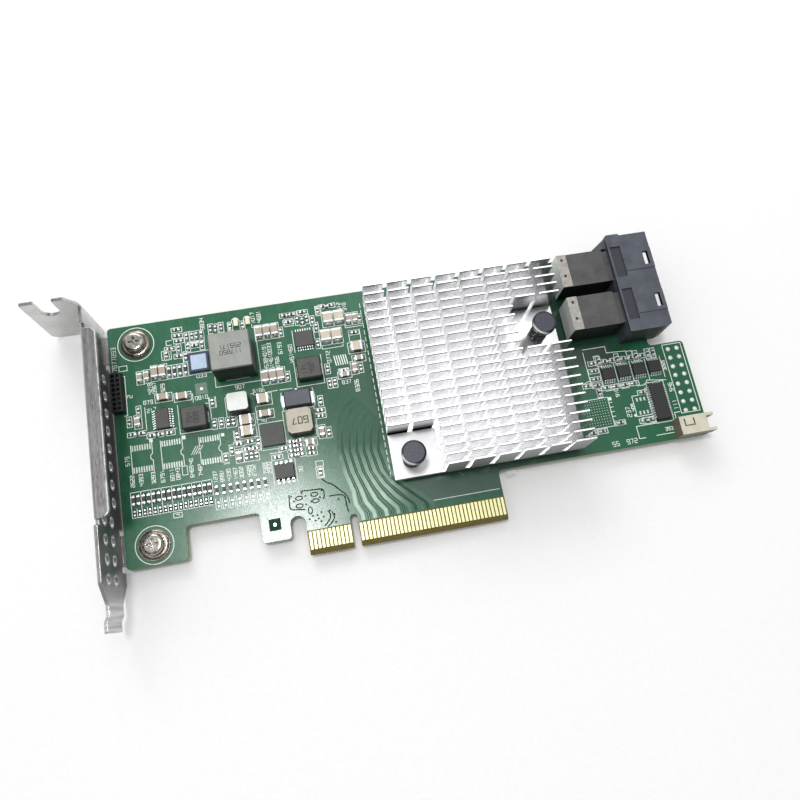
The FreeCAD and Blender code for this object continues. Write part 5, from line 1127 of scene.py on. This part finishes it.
def make_floor():
    """A wide pale floor that looks nearly white and keeps the shadow."""
    mat = Finish("pale_floor", Roughness=0.8, Emission_Color=(1, 1, 1, 1))
    colour = mat.blend(mat.patches(0.004), (0.90, 0.895, 0.89, 1), (0.92, 0.92, 0.92, 1))
    fleck = mat.noise(0.8, 2.0, 0.7)
    speckle = mat.remap(fleck, 0.3, 0.7, 0.0, 0.25)
    mat.feed("Base Color", mat.blend(speckle, colour, (0.84, 0.83, 0.83, 1)))
    mat.bump(fleck, 0.2, 0.3)
    path = mat.add("LightPath").outputs
    seen = mat.most(path["Is Camera Ray"], path["Is Glossy Ray"])
    mat.feed("Emission Strength", mat.both(seen, 0.02))
    mesh = bpy.data.meshes.new("floor")
    reach, steps = 3.0, 12
    row = steps + 1
    ticks = [-reach + 2 * reach * i / steps for i in range(row)]
    points = [(x, y, FLOOR * MM) for y in ticks for x in ticks]
    starts = [j * row + i for j in range(steps) for i in range(steps)]
    mesh.from_pydata(points, [], [(k, k + 1, k + row + 1, k + row) for k in starts])
    mesh.materials.append(mat.material)
    item = bpy.data.objects.new("floor", mesh)
    bpy.context.scene.collection.objects.link(item)


def make_world():
    """Soft studio surround, brighter behind and above the card than in front of it."""
    world = bpy.data.worlds.new("studio")
    bpy.context.scene.world = world
    world.use_nodes = True
    tree = world.node_tree
    back = tree.nodes["Background"]
    back.inputs["Color"].default_value = (0.98, 0.99, 1.0, 1)
    place = tree.nodes.new("ShaderNodeTexCoord")
    dot = tree.nodes.new("ShaderNodeVectorMath")
    dot.operation = "DOT_PRODUCT"
    dot.inputs[1].default_value = (-0.35, 0.55, -0.75)
    level = tree.nodes.new("ShaderNodeMapRange")
    for key, value in (("From Min", -0.9), ("From Max", 0.3), ("To Min", 0.3), ("To Max", 1.08)):
        level.inputs[key].default_value = value
    tree.links.new(place.outputs["Generated"], dot.inputs[0])
    tree.links.new(dot.outputs["Value"], level.inputs["Value"])
    tree.links.new(level.outputs["Result"], back.inputs["Strength"])


def lamp(name, place, target, width, height, power):
    """A rectangular lamp that shines from place to target."""
    data = bpy.data.lights.new(name, "AREA")
    data.shape = "RECTANGLE"
    data.size, data.size_y = width * MM, height * MM
    data.energy = power
    item = bpy.data.objects.new(name, data)
    bpy.context.scene.collection.objects.link(item)
    at = Vector(place) * MM
    item.location = at
    item.rotation_euler = (Vector(target) * MM - at).to_track_quat("-Z", "Y").to_euler()


# The camera fitted to the photograph: focal length and image side in pixels, place and directions.
FOCAL, IMAGE_SIDE = 737.75, 800
SENSOR = 36.0
EYE = (-1.0197, -15.8794, 189.4698)
EYE_RIGHT = (0.98234889, -0.18153769, 0.04510788)
EYE_UP = (0.16245646, 0.94751546, 0.2753586)
EYE_BACK = (-0.09272838, -0.26317015, 0.96028273)


def make_camera():
    data = bpy.data.cameras.new("camera")
    data.sensor_fit = "HORIZONTAL"
    data.sensor_width = SENSOR
    data.lens = FOCAL / IMAGE_SIDE * SENSOR
    data.clip_start = 0.005
    item = bpy.data.objects.new("camera", data)
    bpy.context.scene.collection.objects.link(item)
    turn = Matrix((EYE_RIGHT, EYE_UP, EYE_BACK)).transposed().to_4x4()
    item.matrix_world = Matrix.Translation(Vector(EYE) * MM) @ turn
    bpy.context.scene.camera = item


dress_nodes()
small_parts = two_terminal_parts()
make_solder(small_parts)
make_plugs()
make_cones()
make_legend(small_parts)
make_pads()
make_traces()
make_outlines()
make_prints()
make_back()
make_back_copper()
make_floor()
make_world()
lamp("key", (-106, 100, 900), (-10, 15, 0), 140, 120, 2.75)
lamp("ceiling_far", (210, 350, 900), (210, 350, 0), 370, 400, 0.68)
lamp("ceiling_near", (225, -235, 900), (225, -235, 0), 330, 210, 0.24)
lamp("rear", (-110, 680, 500), (10, 30, 0), 420, 300, 1.8)
make_camera()
bpy.context.scene.view_settings.view_transform = "Standard"
